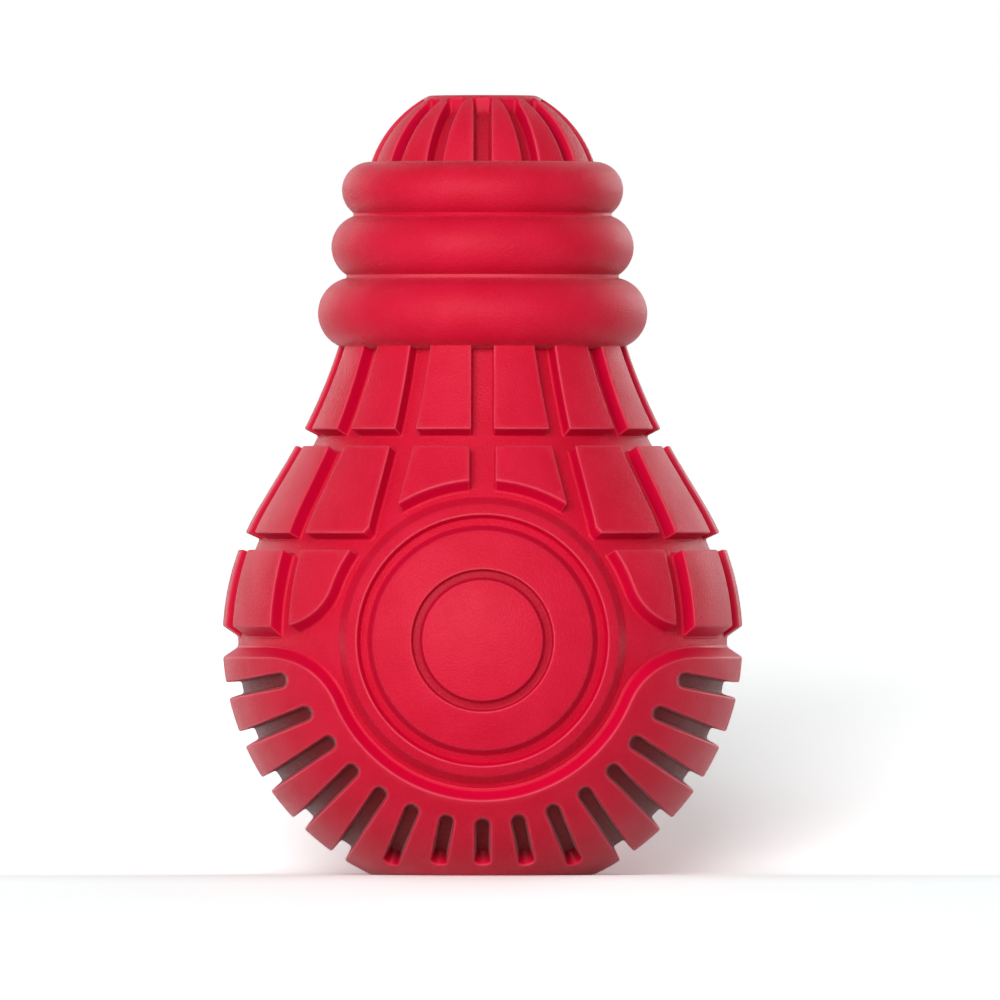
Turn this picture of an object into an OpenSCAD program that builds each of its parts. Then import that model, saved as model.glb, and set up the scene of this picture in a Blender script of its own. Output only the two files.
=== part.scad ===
// Hollow rubber chew toy shaped like a light bulb, standing on its flat base.
// One rubber moulding, divided along its visible forms. Millimetres, Z up.
// The origin is the centre of the flat base and the front looks along -Y.

/* [Globe] */
// Diameter of the round body over the tread blocks
globe_d = 83.5; // [74:0.5:96]
// Diameter of the flat that the toy stands on
base_flat_d = 35.88; // [33:0.01:42]
// Depth of the grooves between the tread blocks
tread_depth = 2.5; // [2:0.1:3]
// Thickness of the rubber under the grooves
wall_t = 7.5; // [6:0.5:9]

/* [Shoulder] */
// Lean of the straight shoulder from the vertical, in degrees
shoulder_angle = 31.2; // [28:0.1:34]
// Length of the straight shoulder
shoulder_len = 7.5; // [6:0.5:9]
// Diameter of the neck's foot, where the collar begins
neck_d = 46.47; // [42:0.01:50]
// Lean of the hollow flare from the vertical where it meets the collar, in degrees
neck_angle = 18.24; // [16:0.01:20]

/* [Tread rows] */
// Number of blocks in a whole row
tread_count = 14; // [12:2:16]
// Width of the grooves that run round between the rows
channel_w = 2.65; // [2.1:0.05:3.2]
// Width of the channel that runs round the equator
equator_channel_w = 5; // [4:0.1:6]
// Width of the upright gaps in the lower row
lower_gap_w = 4.65; // [3.5:0.05:5.5]
// Width of the upright gaps in the middle row
middle_gap_w = 4.1; // [3:0.05:5]
// Width of the upright gaps in the upper row
upper_gap_w = 3.55; // [2.5:0.05:4.5]
// Extra slope of the lower row's underside, in degrees
lower_row_draft = 29; // [20:1:35]
// Radius of the swept corner on the lower row's curved blocks
block_sweep_r = 9.6; // [8:0.1:11]

/* [Medallions] */
// Diameter of the round face at its edge
disc_d = 35; // [30:0.1:40]
// Width of the groove between the face and the rim
medallion_groove_w = 2.6; // [2:0.05:3.2]
// Width of the rim at its top
rim_w = 1.65; // [1.3:0.05:2]
// Width of the channel between the rim and the treads, at its top
clearing_w = 3.9; // [3.2:0.05:5]
// Height of the face and rim over the groove floor
medallion_lift = 1.45; // [1.2:0.05:1.8]
// Draft of the medallion's walls, in degrees
medallion_draft = 24; // [18:1:28]
// Diameter of the plain ring groove in the face, at its middle
mark_d = 21; // [16:0.5:26]
// Width of the plain ring groove
mark_w = 1.8; // [1.2:0.1:2.4]
// Depth of the plain ring groove
mark_depth = 1.1; // [0.6:0.1:1.15]

/* [Skirt] */
// How far the skirt's upper edge lies below the globe's centre
skirt_drop = 2.8; // [2.2:0.1:3.6]
// Radius of the swept corner beside the medallion
skirt_sweep_r = 11.55; // [10:0.05:13]
// Width of the radial slots
slot_w = 2.55; // [2:0.05:3.2]
// Distance from the clearing's edge to the middle of the slots' round ends
slot_inset = 3.95; // [3.3:0.05:4.6]
// Number of slots on each side of the one straight down
slot_pairs = 7; // [5:1:7]
// Angle from the slot straight down to the last one, in degrees
slot_fan_angle = 78.75; // [72:0.25:80]
// Number of slots, on each side of the one straight down, that stop short of the base
closed_slot_pairs = 2; // [1:1:2]
// Height at which the slots under the globe stop
slot_stop_z = 1.65; // [1.2:0.05:2.2]
// Thickness of the web that parts those slots in front from those at the back
slot_web_t = 16; // [12:0.5:20]

/* [Collar] */
// How far the lower ring stands out from the neck
lower_ring_overhang = 3.215; // [2.6:0.005:3.8]
// Thickness of the lower ring
lower_ring_t = 11.56; // [10:0.02:13]
// How far the middle ring's outside lies in from the lower ring's
middle_ring_step = 2.18; // [1.7:0.02:2.7]
// Thickness of the middle ring
middle_ring_t = 10.6; // [9:0.1:12]
// How far the upper ring's outside lies in from the middle ring's
upper_ring_step = 1.7; // [1.3:0.05:2.1]
// Thickness of the upper ring
upper_ring_t = 9.14; // [8:0.02:10.5]
// Depth of the crease between the lower and middle rings, from the middle ring's outside
lower_crease_depth = 2.4; // [2:0.05:2.8]
// Depth of the crease between the middle and upper rings, from the upper ring's outside
upper_crease_depth = 1.82; // [1.5:0.02:2.2]
// Width of the thin land in each crease
land_w = 0.5; // [0.3:0.05:0.8]

/* [Cap] */
// How far the dome's widest part lies in from the upper ring's outside
cap_step = 3.64; // [3:0.02:4.4]
// Depth of the dome's centre below the upper ring's centre
cap_drop = 1.7; // [1:0.1:2.2]
// Diameter of the flat on top
cap_flat_d = 17; // [14:0.5:20]
// Width of the crown's rim, from the flat to the slots' ends
crown_margin = 0.9; // [0.6:0.1:1.3]
// Number of ribs and slots
rib_count = 14; // [10:1:16]
// Width of the slots between the ribs
rib_slot_w = 2.9; // [2:0.1:3.2]
// Depth of the slots between the ribs
rib_slot_depth = 2.1; // [1.5:0.1:2.6]

/* [Openings] */
// Diameter of the stuffing hole in the base
mouth_d = 22; // [18:0.5:25]
// Thickness of the lip round the stuffing hole
lip_t = 5; // [4:0.1:6]
// Diameter of the air hole in the top
vent_d = 6; // [5:0.5:8]
// Thickness of the rubber round the air hole
cap_wall_t = 8; // [7:0.5:9]

/* [Hidden] */
$fn = 120;
toy_red = [0.86, 0.10, 0.19];
// How far a cut runs past what it cuts
overrun = 1;

// Surfaces of the globe, counted inwards
globe_r = globe_d / 2;
globe_z = half_chord(globe_r, base_flat_d / 2);
floor_r = globe_r - tread_depth;
cavity_sink = tread_depth + wall_t;
face_r = floor_r + medallion_lift;

// Shoulder: tangent to the globe, then tangent to the flare, which ends at the neck
shoulder_low_r = globe_r * cos(shoulder_angle);
shoulder_low_z = globe_z + globe_r * sin(shoulder_angle);
shoulder_top_r = shoulder_low_r - shoulder_len * sin(shoulder_angle);
shoulder_top_z = shoulder_low_z + shoulder_len * cos(shoulder_angle);
flare_r = (shoulder_top_r - neck_d / 2) / (cos(neck_angle) - cos(shoulder_angle));
flare_x = shoulder_top_r + flare_r * cos(shoulder_angle);
flare_z = shoulder_top_z + flare_r * sin(shoulder_angle);
neck_z = flare_z - flare_r * sin(neck_angle);

// Heights of the lower and middle rows, as shares of what the channels leave
row_h_shares = [0.314, 0.357];

// Edges of the tread rows, built up from the skirt
skirt_top_z = globe_z - skirt_drop;
blocks_h = neck_z - skirt_top_z - equator_channel_w - 2 * channel_w;
lower_row_low_z = skirt_top_z + equator_channel_w;
lower_row_top_z = lower_row_low_z + row_h_shares[0] * blocks_h;
middle_row_low_z = lower_row_top_z + channel_w;
middle_row_top_z = middle_row_low_z + row_h_shares[1] * blocks_h;
upper_row_low_z = middle_row_top_z + channel_w;

// Medallion and clearing, counted outwards from the round face
rim_inner_d = disc_d + 2 * medallion_groove_w;
rim_outer_d = rim_inner_d + 2 * rim_w;
clearing_r = rim_outer_d / 2 + clearing_w;
// How far a sweep reaches into the clearing, so that the two curves meet
sweep_reach = 0.02;
// How far a sweep runs past the level edge that it comes from, so that the two cross
sweep_pass = 0.02;
// How far the corner cut's straight sides stand off the sweep's own axes
corner_ease = 0.25;

// Slots of the skirt
slot_pitch = slot_fan_angle / slot_pairs;
slot_start_r = clearing_r + slot_inset;
// The highest slots start further out, clear of the skirt's swept corner
slot_start_shares = [1.115, 1.037];

// Collar: each ring rests on the land below it
lower_ring_d = neck_d + 2 * lower_ring_overhang;
middle_ring_d = lower_ring_d - 2 * middle_ring_step;
upper_ring_d = middle_ring_d - 2 * upper_ring_step;
lower_land_r = middle_ring_d / 2 - lower_crease_depth;
upper_land_r = upper_ring_d / 2 - upper_crease_depth;
lower_ring_r = lower_ring_t / 2;
middle_ring_r = middle_ring_t / 2;
upper_ring_r = upper_ring_t / 2;
lower_ring_x = lower_ring_d / 2 - lower_ring_r;
middle_ring_x = middle_ring_d / 2 - middle_ring_r;
upper_ring_x = upper_ring_d / 2 - upper_ring_r;
lower_ring_z = neck_z + half_chord(lower_ring_r, lower_land_r - lower_ring_x);
lower_land_z = lower_ring_z + half_chord(lower_ring_r, lower_land_r - lower_ring_x);
middle_ring_z = lower_land_z + land_w + half_chord(middle_ring_r, lower_land_r - middle_ring_x);
upper_land_z = middle_ring_z + half_chord(middle_ring_r, upper_land_r - middle_ring_x);
upper_ring_z = upper_land_z + land_w + half_chord(upper_ring_r, upper_land_r - upper_ring_x);

// Cap: its slots end on the upper ring and its flat gives the height of the whole toy
cap_r = upper_ring_d / 2 - cap_step;
cap_z = upper_ring_z - cap_drop;
toy_h = cap_z + half_chord(cap_r, cap_flat_d / 2);
rib_floor_r = cap_r - rib_slot_depth;
rib_foot_z = upper_ring_z + upper_ring_r;
crown_r = cap_flat_d / 2 + crown_margin;

// Cavity: it follows the outside at one wall, then the neck, and ends in a dome
neck_bore_r = outline_r(neck_z, cavity_sink);
cavity_top_z = toy_h - cap_wall_t;
cavity_dome_z = cavity_top_z - neck_bore_r;
mouth_r = mouth_d / 2;
lip_r = mouth_r + lip_t;
vent_r = vent_d / 2;

// Half the length of the chord of a circle at a distance from its centre
function half_chord(r, distance) = sqrt(r * r - distance * distance);

// Radius of the body at a height, with its surface sunk by a depth
function outline_r(z, sink) =
    z < shoulder_low_z ? half_chord(globe_r - sink, z - globe_z)
    : z < shoulder_top_z ? shoulder_low_r - sink / cos(shoulder_angle)
        - (z - shoulder_low_z) * tan(shoulder_angle)
    : flare_x - half_chord(flare_r + sink, flare_z - z);

// Angle by which the surface's normal rises at a height
function rise_at(z) =
    z < shoulder_low_z ? asin((z - globe_z) / globe_r)
    : z < shoulder_top_z ? shoulder_angle
    : asin((flare_z - z) / flare_r);

// Height, at a radius, of a wall that starts on the outside at height z
function wall_z(z, slope, r) = z + (r - outline_r(z, 0)) * tan(slope);

// Half section of the body inside its surface sunk by a depth
module body_section(sink) {
    ball_r = globe_r - sink;
    low = [ball_r * cos(shoulder_angle), globe_z + ball_r * sin(shoulder_angle)];
    top = low + shoulder_len * [-sin(shoulder_angle), cos(shoulder_angle)];
    intersection() {
        union() {
            translate([0, globe_z]) circle(r = ball_r);
            difference() {
                polygon([[0, low.y], low, top, [outline_r(lower_ring_z, sink), lower_ring_z],
                    [0, lower_ring_z]]);
                translate([flare_x, flare_z]) circle(r = flare_r + sink);
            }
        }
        square([globe_r, lower_ring_z]);
    }
}

// Half section of the tread layer between two walls, each a height and a slope
module layer_section(low_z, low_slope, top_z, top_slope) {
    intersection() {
        difference() {
            body_section(0);
            body_section(tread_depth);
        }
        polygon([[0, wall_z(low_z, low_slope, 0)], [globe_d, wall_z(low_z, low_slope, globe_d)],
            [globe_d, wall_z(top_z, top_slope, globe_d)], [0, wall_z(top_z, top_slope, 0)]]);
    }
}

// Half section of a collar ring before it is trimmed to what it sits on
module ring_section(x, z, r) {
    translate([x, z]) circle(r = r);
}

// Upright gaps that divide a tread row into blocks
module row_gaps(gap_w) {
    for (i = [0 : tread_count - 1])
        rotate(i * 360 / tread_count - 90)
            translate([0, -gap_w / 2, 0]) cube([globe_d, gap_w, toy_h]);
}

// Turns an outline in x and height about the globe's centre into a cut from front to back
module cut_through() {
    translate([0, 0, globe_z]) rotate([90, 0, 0])
        linear_extrude(height = globe_d + overrun, center = true) children();
}

// The same from the front and from the back, as far as the web between them
module cut_to_web() {
    for (flip = [0, 1])
        translate([0, 0, globe_z]) mirror([0, flip, 0]) rotate([90, 0, 0])
            translate([0, 0, slot_web_t / 2]) linear_extrude(height = globe_r) children();
}

// Outline that sweeps from the round clearing into a level edge, on both sides
// level: height of the edge from the globe's centre; side: 1 above it, -1 below it
module swept_corner(level, sweep_r, side) {
    centre_z = level + side * (sweep_r - sweep_pass);
    centre_x = half_chord(clearing_r + sweep_r - sweep_reach, centre_z);
    for (flip = [-1, 1])
        difference() {
            polygon([[0, 0], [flip * centre_x, centre_z + side * corner_ease],
                [flip * (centre_x + corner_ease), 0]]);
            translate([flip * centre_x, centre_z]) circle(r = sweep_r);
        }
}

// Outline of one radial slot, counted from the one straight down, to its right or left
module slot_outline(i) {
    angle = i * slot_pitch;
    closed = abs(i) <= closed_slot_pairs;
    from_top = slot_pairs - abs(i);
    start_share = from_top < len(slot_start_shares) ? slot_start_shares[from_top] : 1;
    start_r = slot_start_r * start_share;
    stop_r = closed ? (globe_z - slot_stop_z - slot_w / 2) / cos(angle) : globe_r + overrun;
    rotate(angle - 90) {
        translate([start_r, 0]) circle(d = slot_w);
        translate([start_r, -slot_w / 2]) square([stop_r - start_r, slot_w]);
        if (closed) translate([stop_r, 0]) circle(d = slot_w);
    }
}

// All the radial slots, whose floor is the shell's smooth outside
module skirt_slots() {
    cut_to_web() for (i = [-closed_slot_pairs : closed_slot_pairs]) slot_outline(i);
    cut_through()
        for (i = [closed_slot_pairs + 1 : slot_pairs], side = [-1, 1]) slot_outline(side * i);
}

// Cavity from the mouth to the dome under the cap
module cavity() {
    rotate_extrude() intersection() {
        body_section(cavity_sink);
        square([globe_r, neck_z]);
    }
    translate([0, 0, neck_z - overrun])
        cylinder(h = cavity_dome_z - neck_z + overrun, r = neck_bore_r);
    translate([0, 0, cavity_dome_z]) sphere(r = neck_bore_r);
}

// Upright cut through the base, at a radius
module base_cut(r) {
    translate([0, 0, -overrun]) cylinder(h = globe_z, r = r);
}

// Cone about the medallion's axis, wider inwards for side 1 and outwards for side -1
module drafted_plug(edge_r, side) {
    edge_y = half_chord(face_r, edge_r);
    low_y = clearing_r;
    translate([0, 0, globe_z]) rotate([90, 0, 0]) translate([0, 0, low_y])
        cylinder(h = globe_r - low_y,
            r1 = edge_r + side * (edge_y - low_y) * tan(medallion_draft),
            r2 = edge_r + side * (edge_y - globe_r) * tan(medallion_draft));
}

// Domed layer that the medallion is cut from
module medallion_layer() {
    translate([0, 0, globe_z]) difference() {
        sphere(r = face_r);
        sphere(r = floor_r);
    }
}

// Round face with a plain ring groove
module medallion_disc() {
    difference() {
        intersection() {
            medallion_layer();
            drafted_plug(disc_d / 2, 1);
        }
        translate([0, 0, globe_z]) difference() {
            rotate([90, 0, 0]) difference() {
                cylinder(h = globe_r, d = mark_d + mark_w);
                translate([0, 0, -overrun])
                    cylinder(h = globe_r + 2 * overrun, d = mark_d - mark_w);
            }
            sphere(r = face_r - mark_depth);
        }
    }
}

// Raised ring round the face
module medallion_rim() {
    intersection() {
        medallion_layer();
        difference() {
            drafted_plug(rim_outer_d / 2, 1);
            drafted_plug(rim_inner_d / 2, -1);
        }
    }
}

module globe_shell() {
    color(toy_red) difference() {
        rotate_extrude() intersection() {
            body_section(tread_depth);
            square([globe_r, neck_z]);
        }
        cavity();
        base_cut(lip_r);
    }
}

module base_lip() {
    color(toy_red) difference() {
        intersection() {
            translate([0, 0, globe_z]) sphere(r = globe_r);
            cylinder(h = globe_z, r = lip_r);
        }
        base_cut(mouth_r);
        cavity();
    }
}

module slotted_skirt() {
    color(toy_red) difference() {
        rotate_extrude() layer_section(0, 0, skirt_top_z, rise_at(skirt_top_z));
        base_cut(lip_r);
        cut_through() {
            circle(r = clearing_r);
            swept_corner(skirt_top_z - globe_z, skirt_sweep_r, -1);
        }
        skirt_slots();
    }
}

module lower_tread_blocks() {
    color(toy_red) difference() {
        rotate_extrude() layer_section(lower_row_low_z, rise_at(lower_row_low_z) + lower_row_draft,
            lower_row_top_z, rise_at(lower_row_top_z));
        row_gaps(lower_gap_w);
        cut_through() {
            circle(r = clearing_r);
            swept_corner(lower_row_low_z - globe_z, block_sweep_r, 1);
        }
    }
}

module middle_tread_blocks() {
    color(toy_red) difference() {
        rotate_extrude() layer_section(middle_row_low_z, rise_at(middle_row_low_z),
            middle_row_top_z, rise_at(middle_row_top_z));
        row_gaps(middle_gap_w);
        cut_through() circle(r = clearing_r);
    }
}

module upper_tread_blocks() {
    color(toy_red) difference() {
        rotate_extrude() difference() {
            layer_section(upper_row_low_z, rise_at(upper_row_low_z), lower_ring_z, 0);
            translate([0, neck_z]) square([lower_land_r, lower_ring_t]);
            ring_section(lower_ring_x, lower_ring_z, lower_ring_r);
        }
        row_gaps(upper_gap_w);
    }
}

module front_medallion_disc() {
    color(toy_red) medallion_disc();
}

module front_medallion_rim() {
    color(toy_red) medallion_rim();
}

module rear_medallion_disc() {
    color(toy_red) mirror([0, 1, 0]) medallion_disc();
}

module rear_medallion_rim() {
    color(toy_red) mirror([0, 1, 0]) medallion_rim();
}

module neck_core() {
    color(toy_red) difference() {
        union() {
            translate([0, 0, neck_z]) cylinder(h = middle_ring_z - neck_z, r = lower_land_r);
            translate([0, 0, neck_z]) cylinder(h = upper_ring_z - neck_z, r = upper_land_r);
        }
        cavity();
    }
}

module lower_collar_ring() {
    color(toy_red) rotate_extrude() difference() {
        ring_section(lower_ring_x, lower_ring_z, lower_ring_r);
        square([lower_land_r, toy_h]);
    }
}

module middle_collar_ring() {
    color(toy_red) rotate_extrude() difference() {
        ring_section(middle_ring_x, middle_ring_z, middle_ring_r);
        square([lower_land_r, middle_ring_z]);
        square([upper_land_r, toy_h]);
    }
}

module upper_collar_ring() {
    color(toy_red) rotate_extrude() difference() {
        ring_section(upper_ring_x, upper_ring_z, upper_ring_r);
        square([upper_land_r, upper_ring_z]);
        translate([0, cap_z]) circle(r = cap_r);
    }
}

module cap_dome() {
    color(toy_red) difference() {
        union() {
            rotate_extrude() intersection() {
                translate([0, cap_z]) circle(r = cap_r);
                union() {
                    translate([0, upper_ring_z]) square([cap_r, rib_foot_z - upper_ring_z]);
                    translate([0, upper_ring_z]) square([crown_r, toy_h - upper_ring_z]);
                }
            }
            rotate_extrude() intersection() {
                translate([0, cap_z]) circle(r = rib_floor_r);
                translate([0, upper_ring_z]) square([cap_r, toy_h - upper_ring_z]);
            }
        }
        cavity();
        translate([0, 0, cavity_dome_z]) cylinder(h = toy_h, r = vent_r);
    }
}

module cap_ribs() {
    color(toy_red) difference() {
        rotate_extrude() difference() {
            intersection() {
                translate([0, cap_z]) circle(r = cap_r);
                translate([crown_r, rib_foot_z]) square([cap_r, toy_h - rib_foot_z]);
            }
            translate([0, cap_z]) circle(r = rib_floor_r);
        }
        for (i = [0 : rib_count - 1])
            rotate(i * 360 / rib_count - 90)
                translate([0, -rib_slot_w / 2, 0]) cube([cap_r, rib_slot_w, toy_h]);
    }
}

globe_shell();
base_lip();
slotted_skirt();
lower_tread_blocks();
middle_tread_blocks();
upper_tread_blocks();
front_medallion_disc();
front_medallion_rim();
rear_medallion_disc();
rear_medallion_rim();
neck_core();
lower_collar_ring();
middle_collar_ring();
upper_collar_ring();
cap_dome();
cap_ribs();
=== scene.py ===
"""Looks of a hollow rubber chew toy that is shaped like a light bulb.

The toy is one red rubber moulding. Each of its forms is a closed mesh of its own, with the eased
edges, the draft and the rounded floors that a mould gives, and all of them share one rubber.
Sizes are in millimetres and are turned into metres where a mesh is made.
"""

import logging
import math
from collections.abc import Callable, Sequence
from dataclasses import dataclass, field, replace
from enum import Enum

import bmesh
import bpy
import numpy as np
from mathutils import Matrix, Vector
from mathutils.geometry import delaunay_2d_cdt


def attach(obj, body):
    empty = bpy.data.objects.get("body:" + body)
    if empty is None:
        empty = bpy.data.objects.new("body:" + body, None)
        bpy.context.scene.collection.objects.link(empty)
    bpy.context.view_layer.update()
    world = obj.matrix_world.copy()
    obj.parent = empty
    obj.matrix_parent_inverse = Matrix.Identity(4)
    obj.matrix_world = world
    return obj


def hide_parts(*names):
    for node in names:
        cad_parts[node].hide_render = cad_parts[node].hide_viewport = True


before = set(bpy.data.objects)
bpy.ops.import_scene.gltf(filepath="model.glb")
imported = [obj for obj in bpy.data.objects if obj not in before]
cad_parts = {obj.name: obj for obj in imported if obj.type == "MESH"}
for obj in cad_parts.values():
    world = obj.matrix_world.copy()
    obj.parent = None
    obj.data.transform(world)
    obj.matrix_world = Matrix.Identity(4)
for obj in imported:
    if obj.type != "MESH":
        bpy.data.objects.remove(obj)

log = logging.getLogger("chew_toy")

BODY = "root"
MM = 0.001
# Keeps a divisor from being nought.
TINY = 1e-12
# Points that lie nearer than this, in millimetres, count as one.
MERGE_GAP = 1e-6
# Steps round the axis of a plain turned form, and points along the section of the inner dome.
ROUND_STEPS = 144
DOME_POINTS = 10
Points = np.ndarray


class Side(Enum):
    """The two faces of the toy that carry a medallion."""

    FRONT = -1
    REAR = 1


class Pole(Enum):
    """The end of the vertical axis that a polar chart is centred on."""

    TOP = 1
    BOTTOM = -1


def half_chord(radius: float, distance: Points | float) -> Points | float:
    """Half the chord of a circle at a distance from its centre, zero outside it."""
    return np.sqrt(np.maximum(radius * radius - np.square(distance), 0.0))


def unit(vectors: Points) -> Points:
    """The vectors at length one."""
    return vectors / np.maximum(np.linalg.norm(vectors, axis=-1, keepdims=True), TINY)


def spin(angle: float) -> np.ndarray:
    """The matrix that turns rows of points about the vertical axis."""
    c, s = math.cos(angle), math.sin(angle)
    return np.array([[c, -s, 0], [s, c, 0], [0, 0, 1]]).T


def level_ring(radius: float, z: float, steps: int) -> Points:
    """Points round the vertical axis, at one distance from it and at one height."""
    turn = np.arange(steps) * math.tau / steps
    return np.stack([radius * np.cos(turn), radius * np.sin(turn), np.full(turn.shape, z)], -1)


@dataclass(frozen=True)
class BodySizes:
    """Sizes of the toy's body, which is a globe, a straight shoulder and a hollow flare."""

    globe_d: float = 83.5
    base_flat_d: float = 35.88
    tread_depth: float = 2.5
    wall_t: float = 7.5
    shoulder_angle: float = math.radians(31.2)
    shoulder_len: float = 7.5
    neck_d: float = 46.47
    neck_angle: float = math.radians(18.24)

    @property
    def globe_r(self) -> float:
        """Radius over the tread blocks."""
        return self.globe_d / 2

    @property
    def globe_z(self) -> float:
        """Height of the globe's centre."""
        return float(half_chord(self.globe_r, self.base_flat_d / 2))

    @property
    def floor_r(self) -> float:
        """Radius of the smooth floor between the treads."""
        return self.globe_r - self.tread_depth

    @property
    def shoulder_top(self) -> tuple[float, float]:
        """Radius and height of the straight shoulder's upper end, on the outside."""
        lean, length = self.shoulder_angle, self.shoulder_len
        return (self.globe_r * math.cos(lean) - length * math.sin(lean),
                self.globe_z + self.globe_r * math.sin(lean) + length * math.cos(lean))

    @property
    def flare_r(self) -> float:
        """Radius of the hollow flare."""
        run = math.cos(self.neck_angle) - math.cos(self.shoulder_angle)
        return (self.shoulder_top[0] - self.neck_d / 2) / run

    @property
    def flare_centre(self) -> tuple[float, float]:
        """Distance from the axis and height of the flare's centre."""
        return (self.shoulder_top[0] + self.flare_r * math.cos(self.shoulder_angle),
                self.shoulder_top[1] + self.flare_r * math.sin(self.shoulder_angle))

    @property
    def neck_z(self) -> float:
        """Height where the flare ends and the collar begins."""
        return self.flare_centre[1] - self.flare_r * math.sin(self.neck_angle)

    @property
    def cavity_sink(self) -> float:
        """Depth of the cavity below the outside."""
        return self.tread_depth + self.wall_t

    def shoulder_heights(self, sink: float) -> tuple[float, float]:
        """Heights where the shoulder begins and ends, on a surface sunk by a depth."""
        low = self.globe_z + (self.globe_r - sink) * math.sin(self.shoulder_angle)
        return low, low + self.shoulder_len * math.cos(self.shoulder_angle)

    def radius(self, z: Points | float, sink: float = 0.0) -> Points:
        """Radius of the body.

        Args:
            z: Heights.
            sink: Depth of the surface below the outside, counted square to it.

        Returns:
            The radius at each height.
        """
        z = np.asarray(z, float)
        ball, lean = self.globe_r - sink, self.shoulder_angle
        low_z, top_z = self.shoulder_heights(sink)
        flare_x, flare_z = self.flare_centre
        shoulder = ball * math.cos(lean) - (z - low_z) * math.tan(lean)
        flare = flare_x - half_chord(self.flare_r + sink, flare_z - z)
        return np.where(z < low_z, half_chord(ball, z - self.globe_z),
                        np.where(z < top_z, shoulder, flare))

    def rise(self, z: Points | float, sink: float = 0.0) -> Points:
        """Angle by which the normal leans up.

        Args:
            z: Heights.
            sink: Depth of the surface below the outside, counted square to it.

        Returns:
            The angle at each height.
        """
        z = np.asarray(z, float)
        low_z, top_z = self.shoulder_heights(sink)
        globe = np.arcsin(np.clip((z - self.globe_z) / (self.globe_r - sink), -1, 1))
        flare = np.arcsin(np.clip((self.flare_centre[1] - z) / (self.flare_r + sink), -1, 1))
        return np.where(z < low_z, globe, np.where(z < top_z, self.shoulder_angle, flare))

    def foot_z(self, z: float) -> float:
        """Height, on the smooth floor, of a wall that stands square to the outside at z."""
        return float(z - self.tread_depth * math.sin(self.rise(z)))

    def place(self, theta: Points, z: Points, sink: float = 0.0) -> Points:
        """Points on the body, at angles counted from the front and at heights."""
        radius = self.radius(z, sink)
        return np.stack([radius * np.sin(theta), -radius * np.cos(theta), np.asarray(z)], axis=-1)

    def normal(self, points: Points, sink: float = 0.0) -> Points:
        """Outward normals of the body.

        Args:
            points: Points on the surface.
            sink: Depth of that surface below the outside.

        Returns:
            The normal at each point.
        """
        rise = self.rise(points[:, 2], sink)
        flat = unit(points[:, :2])
        return np.stack([flat[:, 0] * np.cos(rise), flat[:, 1] * np.cos(rise), np.sin(rise)], -1)


BODY_SIZES = BodySizes()
GLOBE_CENTRE = np.array([0.0, 0.0, BODY_SIZES.globe_z])


@dataclass(frozen=True)
class TreadSizes:
    """Sizes that the tread rows, the skirt and the medallions share."""

    count: int = 14
    channel_w: float = 2.65
    equator_channel_w: float = 5.0
    row_shares: tuple[float, float] = (0.314, 0.357)
    skirt_drop: float = 2.8
    lower_foot_rise: float = 0.5
    collar_tuck: float = 2.0
    disc_d: float = 35.0
    groove_w: float = 2.6
    rim_w: float = 1.65
    clearing_w: float = 3.9
    medallion_lift: float = 1.45
    wall_run: float = 1.65
    edge_ease: float = 0.3

    @property
    def pitch(self) -> float:
        """Angle from one upright gap to the next."""
        return math.tau / self.count

    @property
    def rim_inner_r(self) -> float:
        """Inner radius of the medallion's rim at its top."""
        return self.disc_d / 2 + self.groove_w

    @property
    def rim_outer_r(self) -> float:
        """Outer radius of the medallion's rim at its top."""
        return self.rim_inner_r + self.rim_w

    @property
    def clearing_r(self) -> float:
        """Radius of the round clearing at the treads' upper edge."""
        return self.rim_outer_r + self.clearing_w

    @property
    def clearing_foot_r(self) -> float:
        """Radius of the clearing at the foot of its drafted wall."""
        return self.clearing_r - self.wall_run

    @property
    def skirt_top_z(self) -> float:
        """Height of the skirt's level edge."""
        return BODY_SIZES.globe_z - self.skirt_drop

    @property
    def blocks_h(self) -> float:
        """Height that the three rows have between them."""
        free = BODY_SIZES.neck_z - self.skirt_top_z - self.equator_channel_w
        return free - 2 * self.channel_w

    @property
    def lower_row(self) -> tuple[float, float]:
        """Lower and upper height of the lower row."""
        low = self.skirt_top_z + self.equator_channel_w
        return low, low + self.row_shares[0] * self.blocks_h

    @property
    def middle_row(self) -> tuple[float, float]:
        """Lower and upper height of the middle row."""
        low = self.lower_row[1] + self.channel_w
        return low, low + self.row_shares[1] * self.blocks_h

    @property
    def upper_row(self) -> tuple[float, float]:
        """Lower height of the upper row, and the height where it ends inside the collar."""
        return self.middle_row[1] + self.channel_w, BODY_SIZES.neck_z + self.collar_tuck


TREADS = TreadSizes()


class BodyChart:
    """Flattens a part of the body: the way round it, and the way up its outline."""

    margin = 5.0
    steps = 600

    def __init__(self, sink: float = 0.0) -> None:
        """Measures the way up the outline.

        Args:
            sink: Depth of the surface below the outside.
        """
        self.sink = sink
        self.z = np.linspace(BODY_SIZES.globe_z - self.margin, BODY_SIZES.neck_z + self.margin,
                             self.steps)
        radius = BODY_SIZES.radius(self.z, sink)
        steps = np.hypot(np.diff(self.z), np.diff(radius))
        self.way = np.concatenate([[0.0], np.cumsum(steps)])
        self.round = float(radius.max())

    def project(self, points: Points) -> Points:
        """Chart places of points on the surface."""
        theta = np.arctan2(points[:, 0], -points[:, 1])
        return np.stack([theta * self.round, np.interp(points[:, 2], self.z, self.way)], -1)

    def lift(self, places: Points) -> Points:
        """Points on the surface at chart places."""
        z = np.interp(places[:, 1], self.way, self.z)
        return BODY_SIZES.place(places[:, 0] / self.round, z, self.sink)

    def normal(self, points: Points) -> Points:
        """Outward normals at points on the surface."""
        return BODY_SIZES.normal(points, self.sink)


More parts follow.
